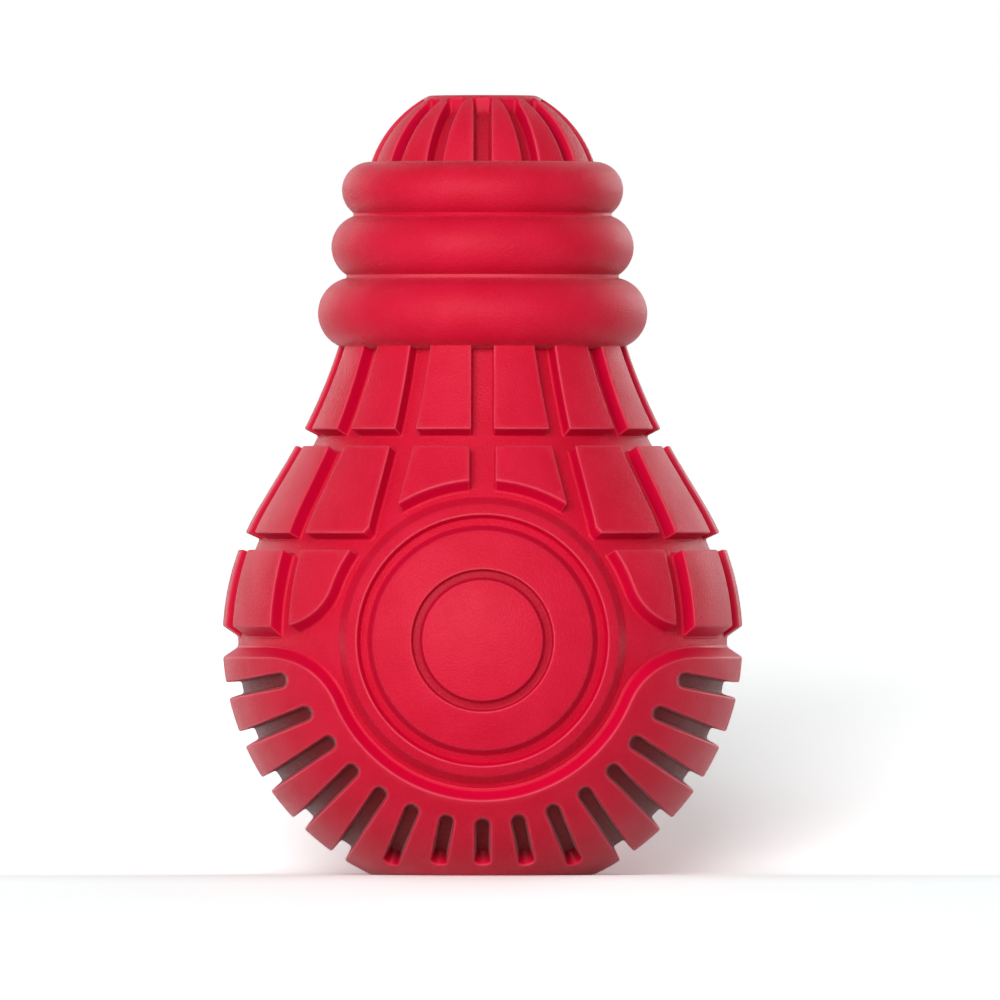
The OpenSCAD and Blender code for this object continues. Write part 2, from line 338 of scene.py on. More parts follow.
class PolarChart:
    """Flattens a bowl or a dome about the vertical axis, seen from one of its ends."""

    scale_phi = math.pi / 4

    def __init__(self, centre_z: float, pole: Pole, reach: Callable[[Points], Points]) -> None:
        """Takes the centre's height, the end it is seen from and the surface's distance.

        Args:
            centre_z: Height of the centre that angles are counted at.
            pole: End of the axis that the chart is centred on.
            reach: Distance of the surface from that centre, by the angle from the pole.
        """
        self.centre = np.array([0.0, 0.0, centre_z])
        self.pole = pole.value
        self.reach = reach
        self.scale = float(reach(np.array([self.scale_phi]))[0])

    def project(self, points: Points) -> Points:
        """Flattens points.

        Args:
            points: Points on the surface.

        Returns:
            Their places on the chart.
        """
        out = points - self.centre
        flat = np.linalg.norm(out[:, :2], axis=1)
        phi = np.arctan2(flat, self.pole * out[:, 2])
        return out[:, :2] * (phi * self.scale / np.maximum(flat, TINY))[:, None]

    def lift(self, places: Points) -> Points:
        """Puts chart places back on the surface.

        Args:
            places: Places on the chart.

        Returns:
            The points there.
        """
        far = np.linalg.norm(places, axis=1)
        phi = far / self.scale
        reach = self.reach(phi)
        flat = places / np.maximum(far, TINY)[:, None] * (reach * np.sin(phi))[:, None]
        return self.centre + np.column_stack([flat, self.pole * reach * np.cos(phi)])

    def normal(self, points: Points) -> Points:
        """Outward normals at points on the surface, taken as a ball's."""
        return unit(points - self.centre)


def ball_chart(radius: float) -> PolarChart:
    """A chart of the globe's lower half, for a surface at a radius from its centre."""
    return PolarChart(BODY_SIZES.globe_z, Pole.BOTTOM, lambda phi: np.full(phi.shape, radius))


def line_length(points: Points) -> float:
    """Length of an open line of points."""
    return float(np.linalg.norm(np.diff(points, axis=0), axis=1).sum())


def resample(points: Points, count: int, cut: float = 0.0) -> Points:
    """Evenly spaced points along a line.

    Args:
        points: The line's own points.
        count: Number of spaces between the new points.
        cut: Length left off at each end.

    Returns:
        count + 1 points.
    """
    steps = np.linalg.norm(np.diff(points, axis=0), axis=1)
    way = np.concatenate([[0.0], np.cumsum(steps)])
    at = np.linspace(cut, way[-1] - cut, count + 1)
    return np.stack([np.interp(at, way, points[:, k]) for k in range(points.shape[1])], -1)


def bend(start: Points, corner: Points, end: Points, steps: int) -> list[Points]:
    """Points, or whole rings of them, along a curve that rounds a corner, both ends included."""
    shares = np.linspace(0.0, 1.0, steps + 1)
    return [(1 - t) ** 2 * start + 2 * t * (1 - t) * corner + t * t * end for t in shares]


def signed_area(places: Points) -> float:
    """Area inside a closed line, negative where it runs clockwise."""
    following = np.roll(places, -1, axis=0)
    return float((places[:, 0] * following[:, 1] - following[:, 0] * places[:, 1]).sum() / 2)


def inside(places: Points, loops: Sequence[Points]) -> np.ndarray:
    """Tells which places lie within an odd number of closed lines.

    Args:
        places: Places on a chart.
        loops: The closed lines, as places on that chart.

    Returns:
        True or False for each place.
    """
    found = np.zeros(len(places), bool)
    for loop in loops:
        low, high = loop.min(0), loop.max(0)
        near = np.flatnonzero(((places >= low) & (places <= high)).all(1))
        if not len(near):
            continue
        x, y = places[near, 0][:, None], places[near, 1][:, None]
        ax, ay = loop[:, 0], loop[:, 1]
        bx, by = np.roll(ax, -1), np.roll(ay, -1)
        rising = np.where(by == ay, TINY, by - ay)
        hit = ((ay > y) != (by > y)) & (x < (bx - ax) * (y - ay) / rising + ax)
        found[near] ^= (hit.sum(1) % 2).astype(bool)
    return found


class Solid:
    """A closed mesh in millimetres, built ring by ring."""

    clear_share = 0.55
    batch = 500

    def __init__(self) -> None:
        """Starts with no points."""
        self.points = np.zeros((0, 3))
        # Share of shade painted at each point, from 0 to 1, deep in slots and grooves.
        self.sunk = np.zeros(0)
        self.faces: list[tuple[int, ...]] = []

    def add(self, points: Points) -> np.ndarray:
        """Adds points.

        Args:
            points: The points.

        Returns:
            Their numbers in the mesh.
        """
        start = len(self.points)
        self.points = np.vstack([self.points, points])
        self.sunk = np.concatenate([self.sunk, np.zeros(len(points))])
        return np.arange(start, start + len(points))

    def strip(self, first: np.ndarray, second: np.ndarray) -> None:
        """Joins two closed rings of as many points with four-sided faces."""
        for a, b, c, d in zip(first, np.roll(first, -1), np.roll(second, -1), second):
            self.faces.append((int(a), int(b), int(c), int(d)))

    def rings(self, rings: Sequence[Points]) -> list[np.ndarray]:
        """Adds rings of points and joins each to the next.

        Args:
            rings: Closed rings of as many points.

        Returns:
            The numbers of each ring's points.
        """
        numbers = [self.add(ring) for ring in rings]
        for first, second in zip(numbers, numbers[1:]):
            self.strip(first, second)
        return numbers

    def fill(self, chart: BodyChart | PolarChart, loops: Sequence[np.ndarray], spacing: float,
             creases: Sequence[Points] = ()) -> None:
        """Closes the surface between closed rings with evenly sized triangles.

        Args:
            chart: Chart that the surface is flattened with.
            loops: Point numbers of the outer ring and of the holes in it.
            spacing: Distance between the points that are added within.
            creases: Closed lines of chart places that triangles mustn't cross.
        """
        places = [chart.project(self.points[loop]) for loop in loops]
        rings = places + list(creases)
        grid = self._grid(places, np.vstack(rings), spacing)
        flat = np.vstack(rings + [grid])
        edges, start = [], 0
        for ring in rings:
            edges += [(start + i, start + (i + 1) % len(ring)) for i in range(len(ring))]
            start += len(ring)
        result = delaunay_2d_cdt([Vector(p) for p in flat.tolist()], edges, [], 1, MERGE_GAP)
        corners, triangles, origins = result[0], result[2], result[3]
        known = np.concatenate(loops)
        numbers = np.full(len(corners), -1)
        for i, origin in enumerate(origins):
            old = [o for o in origin if o < len(known)]
            if old:
                numbers[i] = known[old[0]]
        fresh = np.flatnonzero(numbers < 0)
        corner_places = np.array([tuple(c) for c in corners])
        numbers[fresh] = self.add(chart.lift(corner_places[fresh]))
        triangles = np.array(triangles)
        centres = corner_places[triangles].mean(1)
        for triangle in triangles[inside(centres, places)]:
            self.faces.append(tuple(int(numbers[i]) for i in triangle))

    @staticmethod
    def _grid(loops: Sequence[Points], kept_off: Points, spacing: float) -> Points:
        """Evenly spread places in rows like a honeycomb.

        Args:
            loops: The outer ring and the holes in it, as chart places.
            kept_off: Places that none of the new ones may be close to.
            spacing: Distance between neighbours.

        Returns:
            The places between the loops.
        """
        low, high = loops[0].min(0), loops[0].max(0)
        rows = np.arange(low[1], high[1], spacing * math.sqrt(3) / 2)
        row = np.arange(low[0], high[0], spacing)
        if not len(rows) or not len(row):
            return loops[0][:0]
        places = np.vstack([np.column_stack([row + spacing / 2 * (i % 2), np.full(row.shape, y)])
                            for i, y in enumerate(rows)])
        places = places[inside(places, loops)]
        clear = np.ones(len(places), bool)
        batches = max(1, len(places) // Solid.batch)
        for block in np.array_split(np.arange(len(places)), batches):
            if len(block):
                gaps = places[block][:, None, :] - kept_off[None, :, :]
                near = (Solid.clear_share * spacing) ** 2
                clear[block] = np.square(gaps).sum(-1).min(1) > near
        return places[clear]

    def _moved(self, points: Points) -> "Solid":
        """The same mesh with its points elsewhere."""
        made = Solid()
        made.points, made.sunk, made.faces = points, self.sunk, list(self.faces)
        return made

    def copy(self, flip_x: bool = False, flip_y: bool = False, turn: float = 0.0) -> "Solid":
        """A copy that is mirrored across X or Y and then turned about the vertical axis."""
        flips = np.array([-1 if flip_x else 1, -1 if flip_y else 1, 1])
        return self._moved(self.points * flips @ spin(turn))

    def join(self, other: "Solid") -> None:
        """Takes in another closed mesh.

        Args:
            other: The mesh.
        """
        start = len(self.points)
        self.points = np.vstack([self.points, other.points])
        self.sunk = np.concatenate([self.sunk, other.sunk])
        self.faces += [tuple(start + i for i in face) for face in other.faces]

    def facing_out(self) -> "Solid":
        """The same mesh about the axis Y instead of Z, its top towards the front."""
        x, y, z = self.points.T
        return self._moved(np.stack([x, -z, y + BODY_SIZES.globe_z], -1))


@dataclass(frozen=True)
class Ease:
    """How far a wall's rounded corners reach, and how deep it runs on under the floor."""

    edge: float = 0.3
    foot: Points | float = 0.35
    sink: float = 0.4
    steps: int = 3


def oriented(lines: Sequence[Points], chart: BodyChart | PolarChart, hole: bool) -> list[Points]:
    """Turns matching lines so that the first has the material on its left, seen from outside.

    Args:
        lines: Closed lines of as many points.
        chart: Chart of the surface that the first line lies on.
        hole: True where the lines bound a hole in the material.

    Returns:
        The lines, with all of them turned round or none.
    """
    mirrored = isinstance(chart, PolarChart) and chart.pole < 0
    leftward = (signed_area(chart.project(lines[0])) > 0) != mirrored
    return [line[::-1] if leftward == hole else line for line in lines]


def wall_rings(top: Points, foot: Points, up: Points, foot_up: Points, ease: Ease,
               crest: Points | None = None) -> list[Points]:
    """Rings of a wall, from the outer surface over its edge and down to its foot.

    Args:
        top: Closed line of the wall's upper edge, with the material on its left.
        foot: The matching points at the wall's foot.
        up: Normals of the outer surface at the upper edge.
        foot_up: Normals of the floor at the foot.
        ease: How the edge and the foot are rounded.
        crest: Matching points where the edge's rounding begins, if they aren't square to it.

    Returns:
        Rings of as many points, from the outer surface to the floor.
    """
    along = unit(np.roll(top, -1, axis=0) - np.roll(top, 1, axis=0))
    foot_along = unit(np.roll(foot, -1, axis=0) - np.roll(foot, 1, axis=0))
    outward = -unit(np.cross(foot_up, foot_along))
    down = unit(foot - top)
    if crest is None:
        crest = top + ease.edge * unit(np.cross(up, along))
    edge = bend(crest, top, top + ease.edge * down, ease.steps)
    floor = bend(foot - ease.foot * down, foot, foot + ease.foot * outward, ease.steps)
    return edge + floor


def line_crossing(first: Points, second: Points) -> tuple[float, float]:
    """Where two lines of points cross.

    Args:
        first: Places along one line.
        second: Places along the other.

    Returns:
        How far along each line, counted in its points.
    """
    p, r = first[:-1, None, :], np.diff(first, axis=0)[:, None, :]
    q, s = second[None, :-1, :], np.diff(second, axis=0)[None, :, :]
    cross = r[..., 0] * s[..., 1] - r[..., 1] * s[..., 0]
    cross = np.where(np.abs(cross) < TINY, TINY, cross)
    gap = q - p
    t = (gap[..., 0] * s[..., 1] - gap[..., 1] * s[..., 0]) / cross
    u = (gap[..., 0] * r[..., 1] - gap[..., 1] * r[..., 0]) / cross
    hits = np.argwhere((t >= 0) & (t <= 1) & (u >= 0) & (u <= 1))
    if not len(hits):
        raise ValueError("two edges of a block don't meet")
    i, j = hits[0]
    return float(i + t[i, j]), float(j + u[i, j])


def part_of_line(line: Points, start: float, end: float) -> Points:
    """The stretch of a line between two places on it.

    Args:
        line: The line's own points.
        start: Place where the stretch begins, counted in the line's points.
        end: Place where it ends. Before the start, it turns the stretch round.

    Returns:
        The points of the stretch, both ends included.
    """
    numbers = np.arange(len(line))
    low, high = min(start, end), max(start, end)
    inner = numbers[(numbers > low) & (numbers < high)]
    at = np.concatenate([[low], inner, [high]])
    stretch = np.stack([np.interp(at, numbers, line[:, k]) for k in range(line.shape[1])], -1)
    return stretch if start <= end else stretch[::-1]


@dataclass
class Edge:
    """One edge of a tread block: the crest of its rounding, its upper edge and its foot.

    Each line holds angles counted from the front and heights, and runs past its corners.
    """

    crest: Points
    top: Points
    foot: Points


LINE_SINKS = {"crest": 0.0, "top": 0.0, "foot": BODY_SIZES.tread_depth}
LINE_POINTS = 120


def level_edge(top_z: float, foot_z: float, face: int, start: float, end: float) -> Edge:
    """An edge that runs round the body at one height.

    Args:
        top_z: Height of the upper edge.
        foot_z: Height of the foot.
        face: 1 where the block's face lies over the edge, -1 where it lies under it.
        start: Angle where the line begins.
        end: Angle where it ends.

    Returns:
        The edge.
    """
    theta = np.linspace(start, end, LINE_POINTS)
    inset = face * TREADS.edge_ease * math.cos(BODY_SIZES.rise(top_z))
    return Edge(*(np.column_stack([theta, np.full(theta.shape, z)])
                  for z in (top_z + inset, top_z, foot_z)))


def gap_edge(theta: float, offset: float, low: float, high: float) -> Edge:
    """An edge along an upright gap.

    Args:
        theta: Angle of the gap's middle plane.
        offset: Distance of the upper edge from that plane, negative towards the left.
        low: Height where the line begins.
        high: Height where it ends.

    Returns:
        The edge.
    """
    z = np.linspace(low, high, LINE_POINTS)
    offsets = (offset + math.copysign(TREADS.edge_ease, offset), offset, offset)
    lines = [np.column_stack([theta + np.arcsin(away / BODY_SIZES.radius(z, sink)), z])
             for away, sink in zip(offsets, LINE_SINKS.values())]
    return Edge(*lines)


def round_edge(centre: tuple[float, float], radii: tuple[float, float], start: float,
               end: float) -> Edge:
    """An edge that is round as seen from the front.

    Args:
        centre: Place of the circle's centre, from the globe's.
        radii: Radius at the upper edge and at the foot.
        start: Angle where the line begins, counted from straight up towards the right.
        end: Angle where it ends.

    Returns:
        The edge.
    """
    turn = np.linspace(start, end, 2 * LINE_POINTS)
    crest_r = radii[0] + math.copysign(TREADS.edge_ease, radii[0] - radii[1])
    lines = []
    for radius, sink in zip((crest_r, *radii), LINE_SINKS.values()):
        x = centre[0] + radius * np.sin(turn)
        z = BODY_SIZES.globe_z + centre[1] + radius * np.cos(turn)
        reach = np.minimum(np.abs(x) / BODY_SIZES.radius(z, sink), 1.0)
        lines.append(np.column_stack([np.arcsin(reach) * np.sign(x), z]))
    return Edge(*lines)


@dataclass
class Block:
    """One tread block, which stands on the smooth floor between its edges."""

    edges: list[Edge]
    ease: Ease = field(default_factory=lambda: Ease(edge=TREADS.edge_ease))
    corner: float = 0.3
    crest_corner: float = 0.08
    corner_steps: int = 5
    edge_spacing: float = 1.0
    face_spacing: float = 1.5
    floor_spacing: float = 6.0

    def solid(self) -> Solid:
        """Builds the block.

        Returns:
            Its closed mesh.
        """
        chart, floor = BodyChart(), BodyChart(BODY_SIZES.tread_depth)
        crest, top, foot = oriented(self._loops(), chart, hole=False)
        rings = wall_rings(top, foot, chart.normal(top), floor.normal(foot), self.ease, crest)
        rings.append(rings[-1] - self.ease.sink * floor.normal(rings[-1]))
        made = Solid()
        numbers = made.rings(rings)
        made.fill(chart, [numbers[0]], self.face_spacing)
        made.fill(floor, [numbers[-1]], self.floor_spacing)
        return made

    def _loops(self) -> list[Points]:
        """Cuts the edges where they meet and joins them.

        Returns:
            The closed lines of the crest, the upper edge and the foot, as points in space.
        """
        trimmed = {}
        for name, sink in LINE_SINKS.items():
            lines = [getattr(edge, name) for edge in self.edges]
            metric = [line * np.array([BODY_SIZES.globe_r, 1.0]) for line in lines]
            meets = [line_crossing(a, b) for a, b in zip(metric, metric[1:] + metric[:1])]
            trimmed[name] = [
                BODY_SIZES.place(*part_of_line(line, meets[i - 1][1], meets[i][0]).T, sink)
                for i, line in enumerate(lines)]
        counts = [max(3, math.ceil(line_length(line) / self.edge_spacing))
                  for line in trimmed["top"]]
        corners = (self.crest_corner, self.corner, self.corner)
        return [self._rounded(trimmed[name], counts, corner)
                for name, corner in zip(LINE_SINKS, corners)]

    def _rounded(self, lines: Sequence[Points], counts: Sequence[int], corner: float) -> Points:
        """Joins the edges to one closed line, with every corner rounded a little.

        Args:
            lines: The edges in order, each from corner to corner.
            counts: Number of spaces along each.
            corner: How far the rounding reaches along each edge.

        Returns:
            The closed line.
        """
        short = [resample(line, count, corner) for line, count in zip(lines, counts)]
        pieces = []
        for i, line in enumerate(short):
            following = short[(i + 1) % len(short)]
            turn = bend(line[-1], lines[i][-1], following[0], self.corner_steps)
            pieces += [line, np.array(turn[1:-1])]
        return np.vstack(pieces)


@dataclass
class Piece:
    """A form of the moulding: its mesh stands for one or more nodes of the frame."""

    name: str
    nodes: tuple[str, ...]

    def solid(self) -> Solid:
        """Builds the closed mesh. Each kind of piece has its own."""
        raise NotImplementedError

    def outward(self, points: Points) -> Points:
        """Directions in which the smooth body under the treads faces, at the mesh's points."""
        return BODY_SIZES.normal(points)

    def build(self, material: bpy.types.Material) -> bpy.types.Object:
        """Puts the piece into the scene.

        Args:
            material: The rubber.

        Returns:
            The object, which rides on the toy's body.
        """
        solid = self.solid()
        mesh = bpy.data.meshes.new(self.name)
        mesh.from_pydata((solid.points * MM).tolist(), [], solid.faces)
        mesh.validate()
        finish_mesh(mesh, self.outward, solid.sunk)
        mesh.materials.append(material)
        obj = bpy.data.objects.new(self.name, mesh)
        bpy.context.scene.collection.objects.link(obj)
        weighted = obj.modifiers.new("weighted_normals", "WEIGHTED_NORMAL")
        weighted.mode = "FACE_AREA"
        weighted.keep_sharp = False
        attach(obj, BODY)
        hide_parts(*self.nodes)
        log.info("%s: %d points, %d faces", self.name, len(mesh.vertices), len(mesh.polygons))
        return obj


# Cosine of the lean at which a surface starts to count as a wall, and its fall to a full one.
WALL_COSINE = 0.95
WALL_FALL = 0.25
# Angle between two faces that makes the edge between them a full ridge.
RIDGE_ANGLE = 0.5


def finish_mesh(mesh: bpy.types.Mesh, outward: Callable[[Points], Points],
                sunk: Points) -> None:
    """Turns every face outwards and marks the points on walls, on ridges and deep in slots, where
    shade is painted.

    Args:
        mesh: The mesh, in metres. An open edge in it is warned of.
        outward: Directions that a plain face would have, at points in millimetres.
        sunk: How much shade is painted at each point, from 0 to 1, by how deep it lies in a narrow
            slot.
    """
    work = bmesh.new()
    work.from_mesh(mesh)
    bmesh.ops.recalc_face_normals(work, faces=work.faces)
    open_edges = sum(not edge.is_manifold for edge in work.edges)
    if open_edges:
        log.warning("%s has %d open edges", mesh.name, open_edges)
    ridge = np.zeros(len(work.verts))
    for edge in work.edges:
        angle = edge.calc_face_angle_signed(0.0)
        for vertex in edge.verts:
            ridge[vertex.index] = max(ridge[vertex.index], angle, key=abs)
    normals = np.array([vertex.normal for vertex in work.verts])
    points = np.array([vertex.co for vertex in work.verts]) / MM
    work.to_mesh(mesh)
    work.free()
    mesh.shade_smooth()
    facing = np.abs((normals * outward(points)).sum(1))
    for name, values in (("wall", np.clip((WALL_COSINE - facing) / WALL_FALL, 0, 1)),
                         ("ridge", np.clip(ridge / RIDGE_ANGLE, -1, 1)), ("sunk", sunk)):
        layer = mesh.attributes.new(name, "FLOAT", "POINT")
        layer.data.foreach_set("value", values.astype(np.float32))


def revolve(profile: Points, segments: int) -> Solid:
    """Turns a closed section about the vertical axis.

    Args:
        profile: Radius and height of the section's points, in order.
        segments: Number of steps round the axis.

    Returns:
        The closed mesh. Points on the axis itself are joined to one.
    """
    made = Solid()
    rings = [made.add(level_ring(radius, z, 1 if radius < MERGE_GAP else segments))
             for radius, z in profile]
    for first, second in zip(rings, rings[1:] + rings[:1]):
        if len(first) == 1 and len(second) == 1:
            continue
        if len(first) == 1 or len(second) == 1:
            point, ring = (first, second) if len(first) == 1 else (second, first)
            for a, b in zip(ring, np.roll(ring, -1)):
                made.faces.append((int(point[0]), int(a), int(b)))
        else:
            made.strip(first, second)
    return made


def eased_line(points: Sequence[tuple[float, float]], eases: Sequence[float],
               steps: int = 4) -> Points:
    """A closed section with rounded corners.

    Args:
        points: The section's corners.
        eases: How far each corner's rounding reaches, zero for a sharp one.
        steps: Number of steps round a corner.

    Returns:
        The section's points.
    """
    corners = [np.array(point, float) for point in points]
    made = []
    for i, corner in enumerate(corners):
        if not eases[i]:
            made.append(corner)
            continue
        before, after = corners[i - 1], corners[(i + 1) % len(corners)]
        start = corner + min(eases[i], np.linalg.norm(before - corner) / 2) * unit(before - corner)
        end = corner + min(eases[i], np.linalg.norm(after - corner) / 2) * unit(after - corner)
        made += bend(start, corner, end, steps)
    return np.array(made)


def arc(centre: tuple[float, float], radius: float, start: float, end: float,
        count: int) -> list[tuple[float, float]]:
    """Points of a circle in a section, at angles counted from outwards to up."""
    turn = np.linspace(start, end, count)
    return [(centre[0] + radius * math.cos(a), centre[1] + radius * math.sin(a)) for a in turn]


@dataclass
class TreadRow(Piece):
    """A row of tread blocks round the body, divided by upright gaps."""

    low_z: float = 0.0
    top_z: float = 0.0
    gap_w: float = 4.0
    low_foot_z: float | None = None
    left_out: int = 0
    spare_share: float = 0.3
    spare_z: float = 4.0

    def edges(self, number: int) -> list[Edge]:
        """Edges of one block, each running on past its corners.

        Args:
            number: The gap that the block follows, counted from the one at the front.

        Returns:
            The lower edge, the one on the right, the upper one and the one on the left.
        """
        pitch, half = TREADS.pitch, self.gap_w / 2
        low_foot = BODY_SIZES.foot_z(self.low_z) if self.low_foot_z is None else self.low_foot_z
        start, end = (number - self.spare_share) * pitch, (number + 1 + self.spare_share) * pitch
        low, high = self.low_z - self.spare_z, self.top_z + self.spare_z
        return [level_edge(self.low_z, low_foot, 1, start, end),
                gap_edge((number + 1) * pitch, -half, low, high),
                level_edge(self.top_z, BODY_SIZES.foot_z(self.top_z), -1, end, start),
                gap_edge(number * pitch, half, high, low)]

    def whole_block(self) -> Solid:
        """A block that nothing but its own gaps and channels cuts."""
        return Block(self.edges(0)).solid()

    def solid(self) -> Solid:
        """Builds the row from copies of its blocks, four of each kind that the clearing cuts.

        Returns:
            The closed meshes of all its blocks.
        """
        made = Solid()
        cut = self.cut_blocks()
        for block in cut:
            for flip_x in (False, True):
                for flip_y in (False, True):
                    made.join(block.copy(flip_x, flip_y))
        whole = self.whole_block()
        first = self.left_out + len(cut)
        for number in range(TREADS.count):
            from_front = min(number, TREADS.count - 1 - number)
            from_rear = TREADS.count // 2 - 1 - from_front
            if min(from_front, from_rear) >= first:
                made.join(whole.copy(turn=number * TREADS.pitch))
        return made

    def cut_blocks(self) -> list[Solid]:
        """Blocks to the right of the front that the round clearing cuts, the nearest first."""
        return []


@dataclass
class LowerRow(TreadRow):
    """The row over the equator channel. It has no block beside the medallions' middle."""

    gap_w: float = 4.65
    left_out: int = 1
    sweep_r: float = 9.6
    clearing_end: float = math.radians(38)

    def cut_blocks(self) -> list[Solid]:
        """Builds the block whose side sweeps from the clearing into its lower edge.

        Returns:
            That block alone.
        """
        level = self.low_z - BODY_SIZES.globe_z
        centre_z = level + self.sweep_r
        centre_x = float(half_chord(TREADS.clearing_r + self.sweep_r, centre_z))
        lean = math.atan2(centre_x, centre_z)
        clearing = round_edge((0.0, 0.0), (TREADS.clearing_r, TREADS.clearing_foot_r),
                              lean, self.clearing_end)
        foot_r = self.sweep_r + TREADS.wall_run
        sweep = round_edge((centre_x, centre_z), (self.sweep_r, foot_r), math.pi,
                           math.pi + lean)
        _, right, top, _ = self.edges(1)
        return [SweptBlock([sweep, right, top, clearing]).solid()]


@dataclass
class SweptBlock(Block):
    """A block whose lower edge and inner side are two arcs that run into each other."""

    def _loops(self) -> list[Points]:
        """Joins the two arcs end to end before the edges are cut.

        Returns:
            The closed lines of the crest, the upper edge and the foot, as points in space.
        """
        sweep, right, top, clearing = self.edges
        joined = [np.vstack([getattr(clearing, name)[::-1], getattr(sweep, name)[::-1][1:]])
                  for name in LINE_SINKS]
        self.edges = [Edge(*joined), right, top]
        return super()._loops()


@dataclass
class MiddleRow(TreadRow):
    """The row above, whose blocks over the medallions end in the clearing's arc."""

    gap_w: float = 4.1
    clearing_start: float = math.radians(-5)
    clearing_end: float = math.radians(60)
    sharp_corner: float = 0.2

    def cut_blocks(self) -> list[Solid]:
        """Builds the blocks that the clearing cuts.

        Returns:
            The block beside the front gap, cut off below, and the next one with a cut corner.
        """
        clearing = round_edge((0.0, 0.0), (TREADS.clearing_r, TREADS.clearing_foot_r),
                              self.clearing_start, self.clearing_end)
        _, right, top, left = self.edges(0)
        arched = Block([clearing, right, top, left])
        low, right, top, left = self.edges(1)
        clipped = Block([low, right, top, left, clearing], corner=self.sharp_corner)
        return [arched.solid(), clipped.solid()]


@dataclass
class Skirt(Piece):
    """The band round the lower half, with its radial slots and its curved upper edge."""

    sweep_r: float = 11.55
    slot_w: float = 2.55
    slot_draft: float = 0.3
    tail_share: float = 0.5
    slot_inset: float = 3.95
    slot_pairs: int = 7
    slot_fan: float = math.radians(78.75)
    closed_pairs: int = 2
    slot_stop_z: float = 1.65
    web_t: float = 16.0
    start_shares: tuple[float, float] = (1.115, 1.037)
    lip_r: float = 16.0
    under_r: float = 38.2
    edge_ease: Ease = field(default_factory=lambda: Ease(edge=0.32, foot=0.4))
    slot_ease: Ease = field(default_factory=lambda: Ease(edge=0.4, foot=0.45))
    base_ease: float = 0.5
    edge_spacing: float = 1.0
    sweep_density: float = 1.5
    side_points: int = 22
    bow_points: int = 13
    slot_points: int = 56
    slot_spacing: float = 0.9
    fewest_steps: int = 4
    face_spacing: float = 1.6
    under_spacing: float = 3.0

    def outline(self, clearing_r: float, sweep_r: float, level: float, ball_r: float) -> Points:
        """The closed upper edge of the skirt, or a line beside it, on a ball.

        Args:
            clearing_r: Radius of the clearing's arc, seen from the front.
            sweep_r: Radius of the swept corners beside it.
            level: Height of the level stretch over the globe's centre.
            ball_r: Radius of the ball that the line lies on.

        Returns:
            Points all the way round.
        """
        drop = -TREADS.skirt_drop - self.sweep_r
        centre = (float(half_chord(TREADS.clearing_r + self.sweep_r, drop)), drop)
        lean = math.atan2(centre[0], -drop)
        turn = np.linspace(0, lean, math.ceil(TREADS.clearing_r * lean / self.edge_spacing))
        x, z = clearing_r * np.sin(turn), -clearing_r * np.cos(turn)
        count = math.ceil(self.sweep_r * lean / self.edge_spacing * self.sweep_density)
        turn = np.linspace(-lean, 0, count)[1:]
        x = np.concatenate([x, centre[0] + sweep_r * np.sin(turn)])
        z = np.concatenate([z, centre[1] + sweep_r * np.cos(turn)])
        front = np.stack([x, -half_chord(ball_r, np.hypot(x, z)), z], -1)
        flat_r = float(half_chord(ball_r, level))
        theta = np.linspace(math.asin(min(1.0, x[-1] / flat_r)), math.pi / 2,
                            self.side_points)[1:]
        side = np.stack([flat_r * np.sin(theta), -flat_r * np.cos(theta),
                         np.full(theta.shape, level)], -1)
        quarter = np.vstack([front, side])
        back = quarter[::-1] * np.array([1, -1, 1])
        half = np.vstack([quarter, back[1:]])
        other = half[::-1] * np.array([-1, 1, 1])
        return np.vstack([half, other[1:-1]]) + GLOBE_CENTRE

    def slot(self, number: int, side: int) -> tuple[Points, Points]:
        """The upper edge and the foot of one slot.

        Args:
            number: The slot's place, counted from the one straight down.
            side: 1 for the right, -1 for the left.

        Returns:
            Two closed lines of as many points. A slot that stops short has one at the front.
        """
        angle = side * number * self.slot_fan / self.slot_pairs
        out = np.array([math.sin(angle), -math.cos(angle)])
        across = np.array([math.cos(angle), math.sin(angle)])
        from_top = self.slot_pairs - number
        share = self.start_shares[from_top] if from_top < len(self.start_shares) else 1.0
        start = (TREADS.clearing_r + self.slot_inset) * share
        turn = np.linspace(0, math.pi, self.bow_points)
        lines = []
        for ball, half in ((BODY_SIZES.globe_r, self.slot_w / 2),
                           (BODY_SIZES.floor_r, self.slot_w / 2 - self.slot_draft)):
            bow = half * (np.cos(turn)[:, None] * across - np.sin(turn)[:, None] * out)
            head = start * out + bow
            if number <= self.closed_pairs:
                flatter = self.tail_share * self.slot_w / 2
                stop = BODY_SIZES.globe_z - self.slot_stop_z - flatter
                far = stop / math.cos(angle) * ball / BODY_SIZES.globe_r
                across_bow = half * np.cos(turn)[:, None] * across
                out_bow = half * self.tail_share * np.sin(turn)[:, None] * out
                tail = far * out - across_bow + out_bow
                count = max(self.fewest_steps, math.ceil((stop - start) / self.slot_spacing))
                left = resample(np.array([head[-1], tail[0]]), count)[1:-1]
                right = resample(np.array([tail[-1], head[0]]), count)[1:-1]
                lines.append(self._lifted(np.vstack([head, left, tail, right]), ball))
                continue
            front = self._lifted(head, ball)
            rear = front[::-1] * np.array([1, -1, 1])
            reach = float(half_chord(ball, half))
            bound = math.acos(min(1.0, start / reach))
            beta = np.linspace(-bound, bound, self.slot_points)[1:-1]
            sides = []
            for sign, sweep in ((-1, beta), (1, beta[::-1])):
                flat = (reach * np.cos(sweep))[:, None] * out + sign * half * across
                sides.append(np.stack([flat[:, 0], reach * np.sin(sweep),
                                       flat[:, 1] + BODY_SIZES.globe_z], -1))
            lines.append(np.vstack([front, sides[0], rear, sides[1]]))
        return lines[0], lines[1]

    def _lifted(self, flat: Points, ball: float) -> Points:
        """Points of a ball's front at places seen from the front, no deeper than the web."""
        depth = np.maximum(half_chord(ball, np.hypot(flat[:, 0], flat[:, 1])), self.web_t / 2)
        return np.stack([flat[:, 0], -depth, flat[:, 1] + BODY_SIZES.globe_z], -1)

